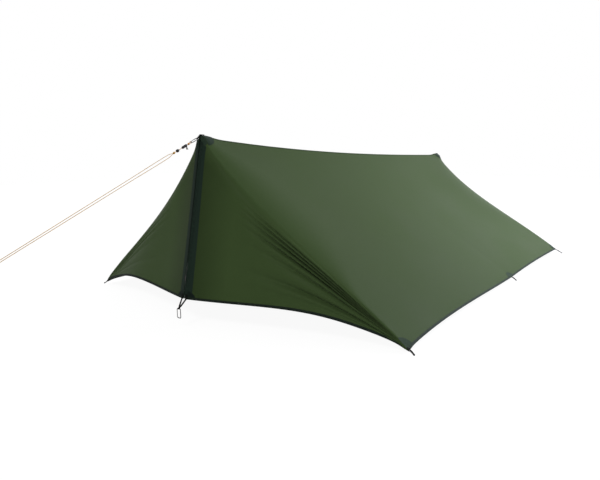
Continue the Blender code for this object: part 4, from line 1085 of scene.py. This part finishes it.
def build_peak_tab(end):
    sign, base = ROOF_ENDS[end]
    u = base + sign * np.array((0.5, 32.0)) * MM / RIDGE_SPAN
    tops = roof_cloth(u, np.zeros(2)) * np.array((1, 0, 1))
    along = unit(tops[0] - tops[1])
    lift_way = facing(np.array((-along[2], 0.0, along[0])), UP)
    bend_at, tail = tops + lift_way * (PEAK_PATCH_HIGH + GAP + WEBBING_THICK / 2)
    band = sewn_band(tail, bend_at, PEAK_EYES[end], lift_way, ACROSS, 14 * MM)
    add("peak_tab_strap_" + end, band, WEBBING, "canopy", "webbing", "peak_tab_" + end, angle=60)
    middles = [lerp(bend_at, tail, share) + lift_way * TACK_LIFT for share in (0.3, 0.8)]
    tacks = [bar_tack(middle, along, ACROSS, 11 * MM) for middle in middles]
    add("peak_tab_tacks_" + end, joined(tacks), DARK_THREAD, "canopy", "webbing")


def build_stake_loop(place, side):
    """One strap: two legs sewn flat under the corner, which twist upright and meet on the ground."""
    node = "stake_loop_" + place + "_" + SIDES[side]
    sign, base = {**ROOF_ENDS, "middle": (0, middle_share())}[place]
    spot = np.clip([base + sign * LOOP_INSET / RIDGE_SPAN], ROOF_INSET, 1 - ROOF_INSET)
    points, normals, _ = roof_patch(side, spot, 1.0)
    corner, normal = points[0], normals[0]
    corners = np.array([v.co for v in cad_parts[node].data.vertices])
    tip = corners[corners[:, 2] < 2 * MM].mean(0)
    level = unit((tip - corner) * np.array((1, 1, 0)))
    tip = tip + level * 2 * MM + UP * (LOOP_WIDTH / 2 + 0.5 * MM - tip[2])
    across = unit(np.cross(UP, level))
    seat = corner - normal * (FABRIC / 2 + GAP + LOOP_THICK)
    way = unit(tip - seat)
    nose = tip - level * LOOP_NOSE
    legs = []
    for leg in (across, -across):
        mouth = seat + leg * LOOP_MOUTH
        neck = seat + (tip - seat) * 0.62 + leg * LOOP_NECK
        legs.append([mouth - way * LOOP_SEWN, mouth - way * 4 * MM, neck, nose + leg * LOOP_NOSE])
    path = smooth_route(legs[0] + [nose + level * LOOP_NOSE] + legs[1][::-1], 9)
    share = np.abs(np.linspace(-1, 1, len(path)))
    ahead = np.gradient(path, axis=0)
    upright = smooth((0.82 - share) / 0.50)[:, None]
    ways = square(unit(np.cross(normal, ahead)) * (1 - upright) + UP * upright, ahead)
    widths = np.interp(share, (0.0, 0.18, 0.42, 0.72, 1.0), np.array((8, 8, 5.5, 14, 14)) * MM)
    add(node + "_strap", strap(path, ways, widths, LOOP_THICK), WEBBING, "canopy", "webbing", node, angle=60)
    middle = seat - way * 10 * MM - normal * LOOP_THICK
    places = (middle - across * LOOP_MOUTH, middle + across * LOOP_MOUTH)
    tacks = [bar_tack(place, way, across, LOOP_WIDTH * 0.8) for place in places]
    add(node + "_tacks", joined(tacks), DARK_THREAD, "canopy", "webbing")


for end in ENDS:
    build_peak_tab(end)
    for side in SIDES:
        build_foot_tab(end, side)
for side in SIDES:
    for place in ("front", "middle", "rear"):
        build_stake_loop(place, side)


# Metal and plastic

TURNS = np.linspace(0, math.tau, 32, endpoint=False)[:, None]
ROUND = np.stack([np.cos(TURNS), np.sin(TURNS)])


def build_carabiner(prefix, body_name, top, down, across):
    """A bent wire body with a flat tongue in the gate's slot; the gate and pin are the CAD's."""
    half = (CARABINER_WIDTH - CARABINER_WIRE) / 2
    length = CARABINER_LENGTH - CARABINER_WIRE
    r = CARABINER_BEND
    start, stop = (top + down * share * length + across * half for share in (0.20, 0.84))
    step = down * 0.5 * MM
    path = [start, start - step]
    for k, (place, side) in enumerate(((r, 1), (r, -1), (length - r, -1), (length - r, 1))):
        centre = top + down * place + across * side * (half - r)
        path += list(arc(centre, across, down, r, -90 * k, -90 * (k + 1), 12))
    path += [stop + step, stop]
    radii = np.full(len(path), CARABINER_WIRE / 2)
    radii[0] = radii[-1] = CARABINER_WIRE / 2 - 0.5 * MM
    tongue_half = 1.8 * MM
    root, sideways = start - down * 1.5 * MM, across * tongue_half
    round_end = arc(start + down * 2.7 * MM, across, down, tongue_half, 0, 180, 12)
    outline = np.array([root + sideways, *round_end, root - sideways])
    normal = np.cross(down, across) * 0.8 * MM
    built = joined([tube(np.array(path), radii, 20), loft(np.stack([outline - normal, outline + normal]))])
    add(prefix + "_wire", built, ALLOY, body_name, "carabiner_alloy", prefix + "_body", angle=40)
    for part in ("_gate", "_gate_pin"):
        paint(prefix + part, ALLOY)


def paint(node, material):
    """A CAD node keeps its shape and gets a finish."""
    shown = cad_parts[node]
    shown.data.materials.clear()
    shown.data.materials.append(material)


def line_ring(run, x, y):
    """Points round the guy line, at half widths x across and y over it."""
    return on_line(run, 0.0) + ACROSS * x + OVER * y


def build_tensioner():
    """A waisted, squarish body with a bore, and a webbing tab that hangs from it."""
    half = [(0.0, 0.48, 0.62), (0.02, 0.60, 0.76), (0.10, 0.90, 0.97), (0.20, 0.99, 1.0), (0.32, 0.98, 0.99)]
    half.append((0.41, 0.95, 0.96))
    stations = half + [(0.5, 0.92, 0.94)] + [(1 - at, wide, thick) for at, wide, thick in reversed(half)]
    x, y = (np.sign(k) * np.abs(k) ** 0.65 for k in ROUND)
    shapes = [(at, x * 5 * thick, y * 8.5 * wide) for at, wide, thick in stations]
    shapes += [(at, *(ROUND * (2.6 if at in (0.0, 1.0) else 2.1))) for at in (1.0, 0.97, 0.5, 0.03, 0.0)]
    rings = [line_ring(TENSIONER_START + TENSIONER_LENGTH * at, x * MM, y * MM) for at, x, y in shapes]
    body = "line_tensioner"
    add("line_tensioner_body", bored(rings), PLASTIC, body, "black_plastic", "guy_tensioner", angle=40)
    top = on_line(TENSIONER_START + 7 * MM, 0.0) - OVER * 5 * MM
    path = smooth_route([top, top - UP * 8 * MM - ALONG * 2 * MM, top - UP * 24 * MM - ALONG * 7 * MM], 6)
    widths = (7 + 13 * np.linspace(0, 1, len(path))) * MM
    built = strap(path, np.tile(ACROSS, (len(path), 1)), widths, 0.9 * MM)
    add("line_tensioner_tab", built, GREY_TAB, body, "webbing", angle=60)


def build_runner():
    """A bead with a bore and a shallow groove round its middle."""
    shapes = []
    for k in range(15):
        turn = math.pi * (k + 0.6) / 15.2
        groove = 1 - 0.05 * math.exp(-(((k - 7) / 1.2) ** 2))
        shapes.append(((1 - math.cos(turn)) / 2, 10 * math.sin(turn) ** 0.7 * groove))
    shapes += [(1.0, 2.8), (0.94, 2.1), (0.06, 2.1), (0.0, 2.8)]
    rings = [line_ring(RUNNER_START + RUNNER_LENGTH * at, *(ROUND * size * MM)) for at, size in shapes]
    add("line_runner_bead", bored(rings), PLASTIC, "canopy", "black_plastic", "guy_runner", angle=40)


build_carabiner("peak_carabiner", "canopy", PEAK_EYES["front"], ALONG, ACROSS)
for end in ENDS:
    build_carabiner("foot_carabiner_" + end, end + "_foot_carabiner", FOOT_EYES[end], -UP, ACROSS)
    paint("zip_slider_" + end, SLIDER_METAL)
    paint("zip_pull_" + end, PLASTIC)
build_tensioner()
build_runner()


# The name starts of the pieces sewn to the doors

DOOR_TRIM = ("door_hem_binding_", "foot_patch_cloth_", "head_patch_cloth_", "corner_hem_binding_")
DOOR_TRIM += ("corner_patch_cloth_", "corner_tip_", "zip_facing_", "zip_tape_cloth_", "door_stitching_")
DOOR_TRIM += ("corner_stitching_",)


# The floor, the light and the world

FLOOR_REACH = 14.0
FLOOR_GLOW = 1.04       # how bright the floor looks where nothing shades it
GLOW_SHARE = 0.90
WORLD_LIGHT = 0.40      # the white background's light on the tarp
COOL_WHITE = (0.97, 0.98, 1.16)


def build_stage():
    """A pale floor that keeps a faint shadow and looks as white as the background."""
    data = bpy.data.meshes.new("floor")
    corners = [(x * FLOOR_REACH, y * FLOOR_REACH, 0) for x, y in ((-1, -1), (1, -1), (1, 1), (-1, 1))]
    data.from_pydata(corners, [], [(0, 1, 2, 3)])
    floor = add_object("floor", data)
    n = new_material("pale_floor", (0.92, 0.92, 0.92), 0.9)
    rays = n.add("LightPath").outputs
    seen = n.math("MAXIMUM", rays["Is Camera Ray"], rays["Is Glossy Ray"])
    share = n.math("MULTIPLY", seen, GLOW_SHARE)
    glow = n.add("Emission", {"Strength": FLOOR_GLOW, "Color": (1, 1, 1, 1)}).outputs[0]
    both = n.add("MixShader", {0: share, 1: n.shader.outputs[0], 2: glow}).outputs[0]
    n.fill(n.tree.nodes["Material Output"], {"Surface": both})
    data.materials.append(n.owner)


def build_world():
    world = bpy.data.worlds.new("studio")
    bpy.context.scene.world = world
    n = Nodes(world)
    rays = n.add("LightPath").outputs
    seen = n.math("MAXIMUM", rays["Is Camera Ray"], rays["Is Glossy Ray"])
    seen = n.math("MAXIMUM", seen, rays["Is Transmission Ray"])
    n.fill(n.tree.nodes["Background"], {"Color": (1, 1, 1, 1), "Strength": n.spread(seen, WORLD_LIGHT)})


def add_sun(name, way, power, breadth):
    """A broad light, even over the whole floor, so that the floor has no edge in view."""
    light = bpy.data.lights.new(name, "SUN")
    light.energy = power
    light.angle = math.radians(breadth)
    add_object(name, light).rotation_euler = Vector(way).to_track_quat("Z", "Y").to_euler()


def add_lamp(name, place, target, size, power):
    """A soft box, a little cooler than the sun."""
    light = bpy.data.lights.new(name, "AREA")
    light.shape = "DISK"
    light.size = size
    light.energy = power
    light.color = COOL_WHITE
    made = add_object(name, light)
    made.location = place
    made.rotation_euler = (Vector(target) - Vector(place)).to_track_quat("-Z", "Y").to_euler()


build_stage()
build_world()
add_sun("key_sun", (0.72, -0.26, 0.64), 1.05, 50)
add_sun("front_fill", (-0.70, -0.14, 0.70), 1.6, 12)
add_lamp("rear_lamp", (7.5, -1.0, 2.4), (0.8, -0.6, 0.5), 3.0, 22)
add_lamp("side_lamp", (1.2, -2.9, 2.3), (0.6, -0.9, 0.5), 1.6, 72)
add_lamp("rear_side_lamp", (2.3, -2.6, 2.2), (1.0, -0.9, 0.5), 1.6, 52)
bpy.context.scene.view_settings.view_transform = "Standard"
